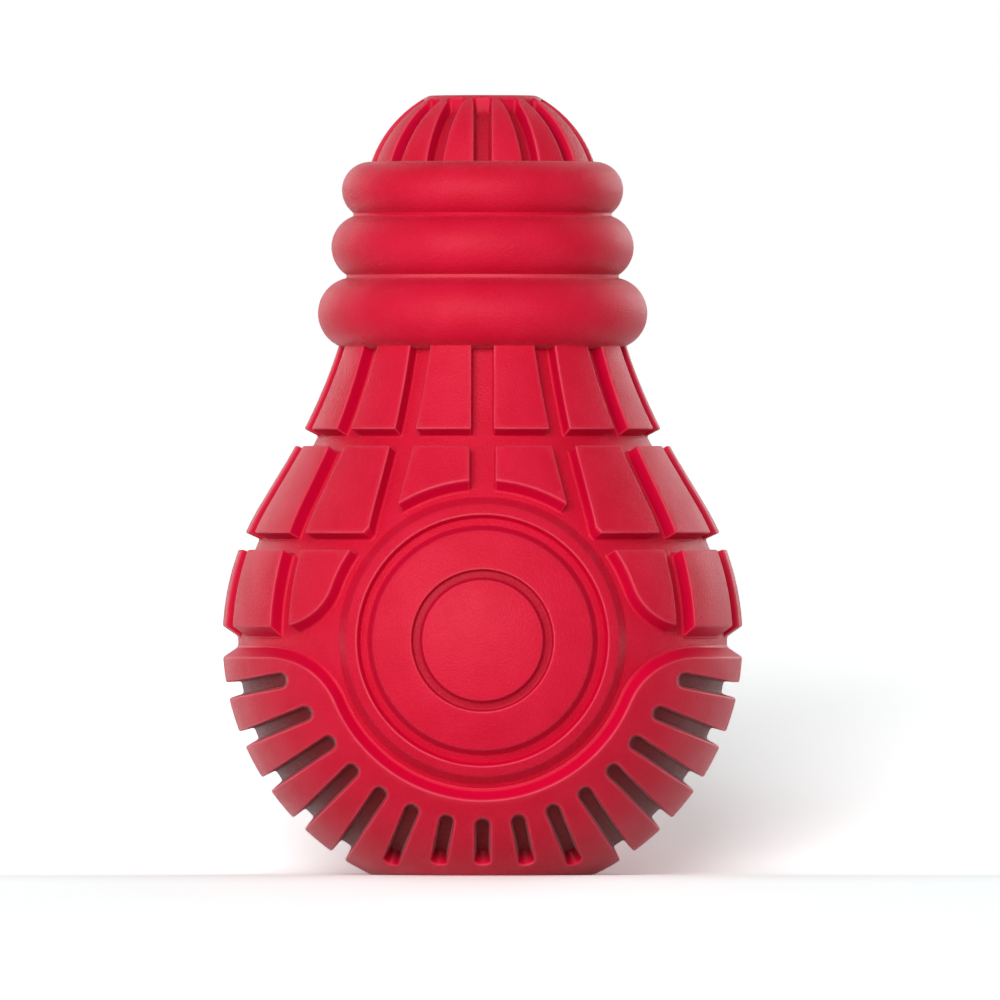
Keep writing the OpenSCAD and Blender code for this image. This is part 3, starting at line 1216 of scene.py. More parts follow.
    def solid(self) -> Solid:
        """Builds the outside, every slot with its floor, and the hidden underside.

        Returns:
            The closed mesh.
        """
        made = Solid()
        chart, floor = ball_chart(BODY_SIZES.globe_r), ball_chart(BODY_SIZES.floor_r)
        top = self.outline(TREADS.clearing_r, self.sweep_r, -TREADS.skirt_drop,
                           BODY_SIZES.globe_r)
        foot = self.outline(TREADS.clearing_foot_r, self.sweep_r + TREADS.wall_run,
                            TREADS.wall_run - TREADS.skirt_drop, BODY_SIZES.floor_r)
        top, foot = oriented([top, foot], chart, hole=False)
        rings = wall_rings(top, foot, chart.normal(top), chart.normal(foot), self.edge_ease)
        rings.append(rings[-1] - self.edge_ease.sink * chart.normal(rings[-1]))
        rings.append(GLOBE_CENTRE + self.under_r * chart.normal(rings[-1]))
        outer = made.rings(rings)
        loops = [outer[0]]
        for slot_top, slot_foot in self._all_slots():
            slot_top, slot_foot = oriented([slot_top, slot_foot], chart, hole=True)
            rings = wall_rings(slot_top, slot_foot, chart.normal(slot_top),
                               chart.normal(slot_foot), self.slot_ease)
            numbers = made.rings(rings)
            loops.append(numbers[0])
            made.fill(floor, [numbers[-1]], self.slot_spacing)
            # Shade is painted into the slot, darker the deeper a point lies.
            first = int(numbers[0][0])
            depth = BODY_SIZES.globe_r - np.linalg.norm(made.points[first:] - GLOBE_CENTRE, axis=1)
            made.sunk[first:] = np.clip(depth / BODY_SIZES.tread_depth, 0, 1)
        base = made.rings(self._base_rings())
        loops.append(base[0])
        made.fill(chart, loops, self.face_spacing)
        made.fill(ball_chart(self.under_r), [outer[-1], base[-1]], self.under_spacing)
        return made

    def _all_slots(self) -> list[tuple[Points, Points]]:
        """Draws every slot, those that stop short both at the front and at the back.

        Returns:
            The upper edge and the foot of each.
        """
        slots = []
        for number in range(self.slot_pairs + 1):
            for side in (1, -1) if number else (1,):
                top, foot = self.slot(number, side)
                slots.append((top, foot))
                if number <= self.closed_pairs:
                    back = np.array([1, -1, 1])
                    slots.append((top * back, foot * back))
        return slots

    def _base_rings(self) -> list[Points]:
        """Draws the skirt's lower end.

        Returns:
            Rings from the globe's outside round the edge of its flat and up beside the lip.
        """
        edge_r, ease = BODY_SIZES.base_flat_d / 2, self.base_ease
        lean = math.asin(edge_r / BODY_SIZES.globe_r)
        start = np.array([edge_r + ease * math.cos(lean), ease * math.sin(lean)])
        section = bend(start, np.array([edge_r, 0.0]), np.array([edge_r - ease, 0.0]), 3)
        under_z = BODY_SIZES.globe_z - float(half_chord(self.under_r, self.lip_r))
        section += [np.array([self.lip_r, 0.0]), np.array([self.lip_r, under_z])]
        return [level_ring(r, z, ROUND_STEPS) for r, z in section]


@dataclass
class Shell(Piece):
    """The hollow carcass, whose smooth outside is the floor between the treads."""

    skirt: Skirt | None = None
    under_skirt_r: float = 38.0
    tuck: float = 0.9
    seat_gap: float = 0.05
    start_over: float = 2.0
    top_margin: float = 1.6
    segments: int = 192
    outer_rings: int = 56
    inner_rings: int = 40
    face_spacing: float = 2.0
    under_spacing: float = 3.5

    def solid(self) -> Solid:
        """Builds the outside, the step down under the skirt and the cavity.

        Returns:
            The closed mesh.
        """
        made = Solid()
        lines = [self.skirt.outline(TREADS.clearing_r + self.tuck, self.skirt.sweep_r - self.tuck,
                                    -TREADS.skirt_drop - self.tuck, ball)
                 for ball in (BODY_SIZES.floor_r, self.under_skirt_r)]
        step = made.rings(lines)
        hole_r = self.skirt.lip_r - self.seat_gap
        hole_z = BODY_SIZES.globe_z - float(half_chord(self.under_skirt_r, hole_r))
        heights = np.linspace(BODY_SIZES.globe_z + self.start_over,
                              BODY_SIZES.neck_z + self.top_margin, self.outer_rings)
        section = [(float(BODY_SIZES.radius(z, BODY_SIZES.tread_depth)), z) for z in heights]
        section += self._cavity_section(heights[-1], hole_r) + [(hole_r, hole_z)]
        numbers = made.rings([level_ring(r, z, self.segments) for r, z in section])
        made.fill(ball_chart(BODY_SIZES.floor_r), [numbers[0], step[0]], self.face_spacing)
        made.fill(ball_chart(self.under_skirt_r), [step[1], numbers[-1]], self.under_spacing)
        return made

    def _cavity_section(self, top_z: float, hole_r: float) -> list[tuple[float, float]]:
        """The cavity's wall, from the top down to the lip's seat.

        Args:
            top_z: Height where the bore through the neck ends.
            hole_r: Radius of the lip's seat.

        Returns:
            Radius and height of the wall's points.
        """
        sink = BODY_SIZES.cavity_sink
        ball = BODY_SIZES.globe_r - sink
        low_z = BODY_SIZES.globe_z - float(half_chord(ball, hole_r))
        heights = np.linspace(BODY_SIZES.neck_z, low_z, self.inner_rings)
        wall = [(float(BODY_SIZES.radius(z, sink)), float(z)) for z in heights]
        return [(wall[0][0], top_z)] + wall


@dataclass
class Lip(Piece):
    """The thick lip of the stuffing hole, level with the flat that the toy stands on."""

    inner_r: float = 11.0
    outer_r: float = 16.0
    mouth_ease: float = 1.0
    inside_ease: float = 0.6
    ease_steps: int = 6
    top_points: int = 5

    def solid(self) -> Solid:
        """Turns the lip's section, whose top follows the cavity.

        Returns:
            The closed mesh.
        """
        ball = BODY_SIZES.globe_r - BODY_SIZES.cavity_sink
        tops = [(float(r), BODY_SIZES.globe_z - float(half_chord(ball, r)))
                for r in np.linspace(self.outer_r, self.inner_r, self.top_points)]
        corners = [(self.inner_r, 0.0), (self.outer_r, 0.0)] + tops
        eases = [self.mouth_ease] + [0.0] * self.top_points + [self.inside_ease]
        return revolve(eased_line(corners, eases, self.ease_steps), ROUND_STEPS)


def on_ball(radius: float, r: float) -> tuple[float, float]:
    """A point of a medallion's section on a ball, at a distance from the medallion's axis."""
    return r, float(half_chord(radius, r))


def dome_line(radius: float, start: float, end: float, count: int) -> list[tuple[float, float]]:
    """Points of a medallion's section along a ball, by their distance from its axis."""
    return [on_ball(radius, float(r)) for r in np.linspace(start, end, count)]


@dataclass
class Medallion(Piece):
    """A raised form of a medallion, turned about the medallion's own axis."""

    side: Side = Side.FRONT
    foot_spread: float = 0.5
    foot_dive: float = 0.15

    @property
    def face_r(self) -> float:
        """Radius of the ball that the raised face lies on."""
        return BODY_SIZES.floor_r + TREADS.medallion_lift

    def faced(self, made: Solid) -> Solid:
        """The mesh, faced to the medallion's side of the toy."""
        return made.facing_out().copy(flip_y=self.side is Side.REAR)


@dataclass
class MedallionDisc(Medallion):
    """The raised round face, with a plain ring groove in it."""

    foot_run: float = 0.8
    foot_ease: float = 0.35
    edge_ease: float = 0.4
    buried: float = 0.6
    mark_r: float = 10.5
    mark_w: float = 1.8
    mark_depth: float = 1.1
    mark_draft: float = 0.3
    mark_edge_ease: float = 0.25
    mark_floor_ease: float = 0.3
    mark_shade: float = 0.45
    shade_margin: float = 0.1
    first_r: float = 1.5
    face_points: int = 8

    def section(self) -> Points:
        """Draws the section, from the axis outwards.

        Returns:
            Radius from the medallion's axis and distance from the globe's centre.
        """
        face, floor, deep = self.face_r, BODY_SIZES.floor_r, BODY_SIZES.floor_r - self.buried
        edge, foot = TREADS.disc_d / 2, TREADS.disc_d / 2 + self.foot_run
        in_top, out_top = self.mark_r - self.mark_w / 2, self.mark_r + self.mark_w / 2
        points = [(0.0, deep), (0.0, face)]
        eases = [0.0, 0.0]
        points += dome_line(face, self.first_r, in_top, self.face_points)
        eases += [0.0] * (self.face_points - 1) + [self.mark_edge_ease]
        points += dome_line(face - self.mark_depth, in_top + self.mark_draft,
                            out_top - self.mark_draft, 2)
        eases += [self.mark_floor_ease] * 2
        points += dome_line(face, out_top, edge, self.face_points)
        eases += [self.mark_edge_ease] + [0.0] * (self.face_points - 2) + [self.edge_ease]
        points += [on_ball(floor, foot), on_ball(floor - self.foot_dive, foot + self.foot_spread),
                   on_ball(deep, foot + self.foot_spread)]
        eases += [self.foot_ease, 0.0, 0.0]
        return eased_line(points, eases)

    def solid(self) -> Solid:
        """Turns the section and paints shade into the ring groove, as into a narrow slot.

        Returns:
            The closed mesh.
        """
        made = revolve(self.section(), ROUND_STEPS)
        off_mark = np.abs(np.linalg.norm(made.points[:, :2], axis=1) - self.mark_r)
        depth = self.face_r - np.linalg.norm(made.points, axis=1)
        in_mark = (off_mark < self.mark_w / 2) & (depth < self.mark_depth + self.shade_margin)
        # Shade is painted into the ring groove, darker the deeper a point lies.
        made.sunk = np.where(in_mark, self.mark_shade * depth / self.mark_depth, 0.0).clip(0, 1)
        return self.faced(made)


@dataclass
class MedallionRim(Medallion):
    """The raised ring round the face."""

    inner_run: float = 0.6
    outer_run: float = 1.2
    inner_spread: float = 0.35
    edge_ease: float = 0.3
    outer_foot_ease: float = 0.4
    buried: float = 0.5
    face_points: int = 4
    segments: int = 168

    def section(self) -> Points:
        """Draws the section, from the inner foot over the face to the outer foot.

        Returns:
            Radius from the medallion's axis and distance from the globe's centre.
        """
        floor = BODY_SIZES.floor_r
        dive, deep = floor - self.foot_dive, floor - self.buried
        inner, outer = TREADS.rim_inner_r, TREADS.rim_outer_r
        inner_foot, outer_foot = inner - self.inner_run, outer + self.outer_run
        inner_end, outer_end = inner_foot - self.inner_spread, outer_foot + self.foot_spread
        points = [on_ball(dive, inner_end), on_ball(floor, inner_foot)]
        points += dome_line(self.face_r, inner, outer, self.face_points)
        points += [on_ball(floor, outer_foot), on_ball(dive, outer_end),
                   on_ball(deep, outer_end), on_ball(deep, inner_end)]
        ease = self.edge_ease
        eases = [0.0, ease, ease] + [0.0] * (self.face_points - 2)
        return eased_line(points, eases + [ease, self.outer_foot_ease, 0.0, 0.0, 0.0])

    def solid(self) -> Solid:
        """Turns the section about the medallion's axis and faces it to its side."""
        return self.faced(revolve(self.section(), self.segments))


@dataclass(frozen=True)
class CollarSizes:
    """Sizes of the collar's three rings and of the cap, each worked out from the one below."""

    overhang: float = 3.215
    steps: tuple[float, float] = (2.18, 1.7)
    thicknesses: tuple[float, float, float] = (11.56, 10.6, 9.14)
    crease_depths: tuple[float, float] = (2.4, 1.82)
    land_w: float = 0.5
    cap_step: float = 3.64
    cap_drop: float = 1.7
    cap_flat_d: float = 17.0
    cap_wall_t: float = 8.0

    @property
    def outer_radii(self) -> tuple[float, float, float]:
        """Outer radius of each ring, from the lowest up."""
        lower = BODY_SIZES.neck_d / 2 + self.overhang
        return lower, lower - self.steps[0], lower - self.steps[0] - self.steps[1]

    @property
    def lands(self) -> tuple[float, float]:
        """Radius of the thin land in each crease."""
        _, middle, upper = self.outer_radii
        return middle - self.crease_depths[0], upper - self.crease_depths[1]

    @property
    def rings(self) -> list[tuple[float, float, float]]:
        """The round section of each ring, from the lowest up.

        Returns:
            Its distance from the axis, its height and its radius.
        """
        radii = [t / 2 for t in self.thicknesses]
        seats = [self.lands[0], self.lands[0], self.lands[1]]
        base, made = BODY_SIZES.neck_z, []
        for outer, radius, seat in zip(self.outer_radii, radii, seats):
            x = outer - radius
            z = base + float(half_chord(radius, seat - x))
            made.append((x, z, radius))
            top = self.lands[min(len(made) - 1, 1)]
            base = z + float(half_chord(radius, top - x)) + self.land_w
        return made

    @property
    def bore_r(self) -> float:
        """Radius of the bore through the neck."""
        return float(BODY_SIZES.radius(BODY_SIZES.neck_z, BODY_SIZES.cavity_sink))

    @property
    def cap_r(self) -> float:
        """Radius of the cap's dome."""
        return self.outer_radii[2] - self.cap_step

    @property
    def cap_z(self) -> float:
        """Height of the dome's centre."""
        return self.rings[2][1] - self.cap_drop

    @property
    def toy_h(self) -> float:
        """Height of the whole toy."""
        return self.cap_z + float(half_chord(self.cap_r, self.cap_flat_d / 2))

    @property
    def cavity_dome_z(self) -> float:
        """Height of the centre of the dome that closes the cavity."""
        return self.toy_h - self.cap_wall_t - self.bore_r


COLLAR = CollarSizes()


@dataclass
class NeckCore(Piece):
    """The hollow neck, which shows as a thin land between each two rings."""

    def solid(self) -> Solid:
        """Turns the neck's section, with the start of the cavity's dome.

        Returns:
            The closed mesh.
        """
        low, high = COLLAR.lands
        middle_z, upper_z = COLLAR.rings[1][1], COLLAR.rings[2][1]
        rise = math.asin((upper_z - COLLAR.cavity_dome_z) / COLLAR.bore_r)
        points = [(COLLAR.bore_r, BODY_SIZES.neck_z), (low, BODY_SIZES.neck_z), (low, middle_z),
                  (high, middle_z), (high, upper_z)]
        dome = arc((0.0, COLLAR.cavity_dome_z), COLLAR.bore_r, rise, 0.0, DOME_POINTS)
        return revolve(np.array(points + dome), ROUND_STEPS)


@dataclass
class CollarRing(Piece):
    """One ring of the collar, round on its outside."""

    number: int = 0
    tuck: float = 0.8
    under_cap_r: float = 15.0
    section_points: int = 48
    segments: int = 192

    def outward(self, points: Points) -> Points:
        """Directions away from the middle of the ring's round section.

        Args:
            points: Points of the mesh.

        Returns:
            The direction at each point.
        """
        x, z, _ = COLLAR.rings[self.number]
        flat = unit(points[:, :2])
        return unit(points - np.column_stack([flat * x, np.full(len(points), z)]))

    def solid(self) -> Solid:
        """Turns the ring's round section, cut off a little inside the neck.

        Returns:
            The closed mesh.
        """
        x, z, radius = COLLAR.rings[self.number]
        seat = COLLAR.lands[min(self.number, 1)] - self.tuck
        lean = math.acos(min(1.0, max(-1.0, (seat - x) / radius)))
        topmost = self.number == len(COLLAR.rings) - 1
        section = arc((x, z), radius, -lean, math.pi / 2 if topmost else lean,
                      self.section_points)
        if topmost:
            section += [(self.under_cap_r, z + radius), (self.under_cap_r, z)]
        return revolve(np.array(section), self.segments)


@dataclass
class Cap(Piece):
    """The domed cap with its flat top, its air hole and the slots between its ribs."""

    slots: int = 14
    slot_w: float = 2.9
    slot_depth: float = 2.1
    slot_draft: float = 0.33
    slot_head_run: float = 0.15
    slot_end_z: float = 112.5
    slot_shade: float = 0.4
    ease: Ease = field(default_factory=lambda: Ease(edge=0.3, foot=0.4))
    end_foot: float = 0.9
    crown_margin: float = 0.9
    crown_ease: float = 0.55
    crown_creases: tuple[float, ...] = (-0.032, -0.012, 0.004, 0.018)
    crown_band: float = 0.05
    least_cosine: float = 0.2
    vent_r: float = 3.0
    vent_ease: float = 0.6
    vent_steps: int = 4
    bottom_z: float = 111.0
    segments: int = 196
    run_points: int = 16
    end_points: int = 7
    face_spacing: float = 1.3
    slot_spacing: float = 50.0

    def outward(self, points: Points) -> Points:
        """Directions away from the dome's centre, and straight up on the flat crown.

        Args:
            points: Points of the mesh.

        Returns:
            The direction at each point.
        """
        crown = points[:, 2] > COLLAR.toy_h - self.crown_band
        away = unit(points - np.array([0.0, 0.0, COLLAR.cap_z]))
        return np.where(crown[:, None], np.array([0.0, 0.0, 1.0]), away)

    def reach(self, phi: Points) -> Points:
        """Distance of the cap's outside from the dome's centre.

        Args:
            phi: Angles from the top.

        Returns:
            The distance at each angle.
        """
        flat = (COLLAR.toy_h - COLLAR.cap_z) / np.maximum(np.cos(phi), self.least_cosine)
        gap = np.abs(flat - COLLAR.cap_r)
        soft = np.square(np.maximum(self.soften - gap, 0.0)) / (4 * self.soften)
        return np.minimum(flat, COLLAR.cap_r) - soft

    @property
    def soften(self) -> float:
        """How much the crown's edge is rounded, as a difference of distances."""
        return self.crown_ease * math.sin(self.edge_phi)

    @property
    def edge_phi(self) -> float:
        """Angle from the top at which the flat meets the dome."""
        return math.asin(COLLAR.cap_flat_d / 2 / COLLAR.cap_r)

    def solid(self) -> Solid:
        """Builds the outside with its slots, and the vent and dome on the inside.

        Returns:
            The closed mesh.
        """
        made = Solid()
        chart = PolarChart(COLLAR.cap_z, Pole.TOP, self.reach)
        numbers = made.rings([level_ring(r, z, self.segments) for r, z in self._inner_section()])
        loops = [numbers[0], numbers[-1]]
        top, foot, foot_reach = self._slot()
        for i in range(self.slots):
            turned = spin(i * math.tau / self.slots)
            slot_top, slot_foot, reach = oriented([top @ turned, foot @ turned, foot_reach],
                                                  chart, hole=True)
            rings = wall_rings(slot_top, slot_foot, chart.normal(slot_top),
                               chart.normal(slot_foot), replace(self.ease, foot=reach))
            slot_numbers = made.rings(rings)
            loops.append(slot_numbers[0])
            made.fill(chart, [slot_numbers[-1]], self.slot_spacing)
            # Shade is painted into the slot, darker the deeper a point lies.
            first = int(slot_numbers[0][0])
            depth = COLLAR.cap_r - np.linalg.norm(made.points[first:] - chart.centre, axis=1)
            made.sunk[first:] = self.slot_shade * np.clip(depth / self.slot_depth, 0, 1)
        creases = [level_ring((self.edge_phi + off) * chart.scale, 0.0, self.segments)[:, :2]
                   for off in self.crown_creases]
        made.fill(chart, loops, self.face_spacing, creases)
        return made

    def _inner_section(self) -> list[tuple[float, float]]:
        """The cap's inside, from its lower edge up through the vent.

        Returns:
            Radius and height of the section's points.
        """
        bore_r, dome_z, top = COLLAR.bore_r, COLLAR.cavity_dome_z, COLLAR.toy_h
        dome_r = float(half_chord(bore_r, self.bottom_z - dome_z))
        start, end = math.acos(dome_r / bore_r), math.acos(self.vent_r / bore_r)
        edge = bend(np.array([self.vent_r, top - self.vent_ease]), np.array([self.vent_r, top]),
                    np.array([self.vent_r + self.vent_ease, top]), self.vent_steps)
        section = [(float(half_chord(COLLAR.cap_r, self.bottom_z - COLLAR.cap_z)), self.bottom_z)]
        section += arc((0.0, dome_z), bore_r, start, end, DOME_POINTS)
        return section + [(float(r), float(z)) for r, z in edge]

    def _slot(self) -> tuple[Points, Points, Points]:
        """Draws the slot at the front.

        Returns:
            Its upper edge and its foot, and how far the foot is rounded at each point.
        """
        crown = COLLAR.cap_flat_d / 2 + self.crown_margin
        lines = []
        for ball, head_run, half in (
                (COLLAR.cap_r, 0.0, self.slot_w / 2),
                (COLLAR.cap_r - self.slot_depth, self.slot_head_run,
                 self.slot_w / 2 - self.slot_draft)):
            low = float(half_chord(ball, self.slot_end_z - COLLAR.cap_z))
            start_y, stop_y = crown + head_run, float(half_chord(low, half))
            reach = float(half_chord(ball, half))
            turn = np.linspace(math.acos(start_y / reach), math.acos(stop_y / reach),
                               self.run_points)
            run = np.stack([np.full(turn.shape, half), -reach * np.cos(turn),
                            COLLAR.cap_z + reach * np.sin(turn)], -1)
            back = run[::-1] * np.array([-1, 1, 1])
            cross = np.linspace(half, -half, self.end_points)[1:-1]
            foot_line = np.stack([cross, -half_chord(low, cross),
                                  np.full(cross.shape, self.slot_end_z)], -1)
            head_z = COLLAR.cap_z + np.sqrt(ball * ball - start_y * start_y - cross * cross)
            head_line = np.stack([cross[::-1], np.full(cross.shape, -start_y), head_z[::-1]], -1)
            lines.append(np.vstack([run, foot_line, back, head_line]))
        reach = np.full((len(lines[1]), 1), self.ease.foot)
        reach[1 - len(head_line):-1] = self.end_foot
        return lines[0], lines[1], reach


@dataclass(frozen=True)
class RubberFinish:
    """Finish of the red moulded rubber: grained on its faces, with painted shade in its creases
    and narrow slots, and paler ridges that are partly wear and partly a painted highlight.

    Two numbers together are a factor and an offset. Only noise_span holds the two values of a
    noise that become 0 and 1.
    """

    lit: tuple[float, float, float] = (0.77, 0.008, 0.044)
    # Darker tone for random patches, and also the painted shade in creases.
    deep: tuple[float, float, float] = (0.68, 0.002, 0.027)
    deep_share: float = 0.6
    hollow_shade_share: float = 0.5
    polished: tuple[float, float, float] = (0.75, 0.0008, 0.042)
    # Paler colour of ridges: partly wear, partly a painted highlight along edges.
    worn_and_highlit: tuple[float, float, float] = (0.90, 0.10, 0.15)
    wear_and_highlight: float = 0.65
    highlight_and_wear_patches: tuple[float, float] = (0.6, 0.4)
    # Colour of the shade painted deep in slots and in the medallion's groove.
    sunk: tuple[float, float, float] = (0.22, 0.004, 0.009)
    # Dark colour that light bounced off the rubber takes, which paints shade into recesses.
    bounce: tuple[float, float, float] = (0.06, 0.02, 0.02)
    bounce_share: float = 0.4
    roughness: float = 0.46
    roughness_span: float = 0.08
    specular: float = 0.17
    grain_size: float = 0.00026
    grain_height: float = 0.00005
    grain_on_faces: tuple[float, float] = (0.9, 0.1)
    speck_fineness: float = 0.7
    patch_scale: float = 140.0
    noise_span: tuple[float, float] = (0.3, 0.7)
    sheen: float = 0.16
    sheen_specks: tuple[float, float] = (1.3, 0.35)
    slot_sheen: float = 0.5
    slot_specks: tuple[float, float] = (0.8, 0.2)
    sheen_roughness: float = 0.3
    sheen_tint: tuple[float, float, float] = (1.0, 0.92, 0.92)


class NodeTree:
    """Short ways to add and join the nodes of a material or a node group."""

    # Sockets of a Mix node that hold its two colours and their blend.
    mix_colours = (6, 7)
    mix_result = 2

    def __init__(self, tree: bpy.types.NodeTree) -> None:
        """Takes the tree that nodes are added to."""
        self.tree = tree

    def node(self, kind: str, **values: object) -> bpy.types.Node:
        """Adds a node.

        Args:
            kind: The node's type.
            values: Properties of the node, by name.

        Returns:
            The node.
        """
        made = self.tree.nodes.new(kind)
        for name, value in values.items():
            setattr(made, name, value)
        return made

    def join(self, source: bpy.types.NodeSocket, target: bpy.types.NodeSocket) -> None:
        """Joins an output to an input."""
        self.tree.links.new(source, target)

    def maths(self, operation: str, first: object, second: object = 0.0) -> bpy.types.NodeSocket:
        """Adds a sum.

        Args:
            operation: Kind of sum.
            first: A socket or a number.
            second: Another.

        Returns:
            The socket with the result.
        """
        made = self.node("ShaderNodeMath", operation=operation)
        for socket, value in zip(made.inputs, (first, second)):
            if isinstance(value, bpy.types.NodeSocket):
                self.join(value, socket)
            else:
                socket.default_value = value
        return made.outputs[0]

    def scaled(self, source: bpy.types.NodeSocket, factor: float,
               offset: float) -> bpy.types.NodeSocket:
        """A value times a factor, plus an offset."""
        return self.maths("ADD", self.maths("MULTIPLY", source, factor), offset)

    def ramp(self, source: bpy.types.NodeSocket, low: float, high: float) -> bpy.types.NodeSocket:
        """Spreads a value over the whole way from 0 to 1.

        Args:
            source: The socket with the value.
            low: The value that becomes 0.
            high: The value that becomes 1.

        Returns:
            The socket with the result, which is cut off at 0 and 1.
        """
        made = self.node("ShaderNodeMapRange")
        made.inputs["From Min"].default_value = low
        made.inputs["From Max"].default_value = high
        self.join(source, made.inputs["Value"])
        return made.outputs["Result"]

    def blend(self, share: bpy.types.NodeSocket, first: object,
              second: object) -> bpy.types.NodeSocket:
        """Blends two colours.

        Args:
            share: The socket with the second one's share.
            first: A colour or a socket with one.
            second: Another.

        Returns:
            The socket with the blend.
        """
        made = self.node("ShaderNodeMix", data_type="RGBA")
        self.join(share, made.inputs[0])
        for number, value in zip(self.mix_colours, (first, second)):
            socket = made.inputs[number]
            if isinstance(value, bpy.types.NodeSocket):
                self.join(value, socket)
            else:
                socket.default_value = (*value, 1)
        return made.outputs[self.mix_result]


def grain_group(finish: RubberFinish) -> bpy.types.NodeTree:
    """Makes the node group for the rubber's fine grain.

    Args:
        finish: Sizes of the grain.

    Returns:
        A group with a height, specks and a slow variation as its outputs.
    """
    group = bpy.data.node_groups.new("rubber_grain", "ShaderNodeTree")
    tree = NodeTree(group)
    place = tree.node("ShaderNodeTexCoord").outputs["Object"]
    out = tree.node("NodeGroupOutput")
    # Each noise's name, scale and detail.
    layers = (("Height", 1 / finish.grain_size, 2.0),
              ("Specks", finish.speck_fineness / finish.grain_size, 1.0),
              ("Patches", finish.patch_scale, 3.0))
    for name, scale, detail in layers:
        group.interface.new_socket(name, in_out="OUTPUT", socket_type="NodeSocketFloat")
        noise = tree.node("ShaderNodeTexNoise")
        noise.inputs["Scale"].default_value = scale
        noise.inputs["Detail"].default_value = detail
        tree.join(place, noise.inputs["Vector"])
        tree.join(tree.ramp(noise.outputs["Fac"], *finish.noise_span), out.inputs[name])
    return group


def mask_group() -> bpy.types.NodeTree:
    """Makes the node group that reads what each place of the moulding is.

    Returns:
        A group with a mask each for walls, ridges, hollows and deep slots as its outputs. The
        ridge mask steers paler edges that are partly a painted highlight, and the hollow and slot
        masks steer painted shade.
    """
    group = bpy.data.node_groups.new("mould_masks", "ShaderNodeTree")
    tree = NodeTree(group)
    out = tree.node("NodeGroupOutput")
    # Each mask's name, the attribute it reads, and the values that become 0 and 1.
    masks = (("Wall", "wall", 0.0, 1.0), ("Ridge", "ridge", 0.25, 1.0),
             ("Hollow", "ridge", -0.25, -1.0), ("Sunk", "sunk", 0.15, 0.9))
    for name, layer, low, high in masks:
        group.interface.new_socket(name, in_out="OUTPUT", socket_type="NodeSocketFloat")
        read = tree.node("ShaderNodeAttribute", attribute_name=layer)
        tree.join(tree.ramp(read.outputs["Fac"], low, high), out.inputs[name])
    return group


def rubber_material(finish: RubberFinish) -> bpy.types.Material:
    """Makes the red rubber.

    Args:
        finish: Its colours, its roughness and its grain.

    Returns:
        A matte material, grained on the faces, paler on ridges from wear and a painted highlight,
        with painted shade in creases and deep in slots.
    """
    material = bpy.data.materials.new("red_rubber")
    material.use_nodes = True
    tree = NodeTree(material.node_tree)
    shader = material.node_tree.nodes["Principled BSDF"]
    grain = tree.node("ShaderNodeGroup", node_tree=grain_group(finish)).outputs
    masks = tree.node("ShaderNodeGroup", node_tree=mask_group()).outputs
    face = tree.maths("SUBTRACT", 1.0, masks["Wall"])
    colour = tree.blend(tree.maths("MULTIPLY", grain["Patches"], finish.deep_share),
                        finish.lit, finish.deep)
    colour = tree.blend(masks["Wall"], colour, finish.polished)
    # Painted shade: creases at the feet of walls take the darker red.
    colour = tree.blend(tree.maths("MULTIPLY", masks["Hollow"], finish.hollow_shade_share),
                        colour, finish.deep)
    # Ridges turn paler, partly as wear and partly as a painted highlight along edges.
    worn_and_highlit = tree.maths("MULTIPLY", masks["Ridge"],
                      tree.scaled(grain["Patches"], *finish.highlight_and_wear_patches))
    colour = tree.blend(tree.maths("MULTIPLY", worn_and_highlit, finish.wear_and_highlight), colour, finish.worn_and_highlit)
    # Painted shade: the colour darkens deep in slots and in the groove, where shade falls.
    colour = tree.blend(masks["Sunk"], colour, finish.sunk)
    # Light bounced off the rubber takes a dark colour in place of the red: this paints shade into
    # recesses and keeps the paper's shadow grey.
    second = tree.node("ShaderNodeLightPath").outputs["Is Diffuse Ray"]
    colour = tree.blend(tree.maths("MULTIPLY", second, finish.bounce_share), colour, finish.bounce)
    tree.join(colour, shader.inputs["Base Color"])
    smoothest = finish.roughness - finish.roughness_span / 2
    tree.join(tree.scaled(grain["Patches"], finish.roughness_span, smoothest),
              shader.inputs["Roughness"])
    sheen = tree.maths("MULTIPLY", face, tree.scaled(grain["Specks"], *finish.sheen_specks))
    sheen = tree.maths("MULTIPLY", sheen, finish.sheen)
    slot_sheen = tree.maths("MULTIPLY", masks["Sunk"],
                            tree.scaled(grain["Specks"], *finish.slot_specks))
    sheen = tree.maths("ADD", sheen, tree.maths("MULTIPLY", slot_sheen, finish.slot_sheen))
    tree.join(sheen, shader.inputs["Sheen Weight"])
    bump = tree.node("ShaderNodeBump")
    bump.inputs["Distance"].default_value = finish.grain_height
    tree.join(tree.scaled(face, *finish.grain_on_faces), bump.inputs["Strength"])
    tree.join(grain["Height"], bump.inputs["Height"])
    tree.join(bump.outputs["Normal"], shader.inputs["Normal"])
    shader.inputs["Specular IOR Level"].default_value = finish.specular
    shader.inputs["Sheen Roughness"].default_value = finish.sheen_roughness
    shader.inputs["Sheen Tint"].default_value = (*finish.sheen_tint, 1)
    return material


@dataclass(frozen=True)
class Lamp:
    """A square lamp: its angles round and over the toy's middle, in degrees, and its watts."""

    name: str
    azimuth: float
    height: float
    power: float


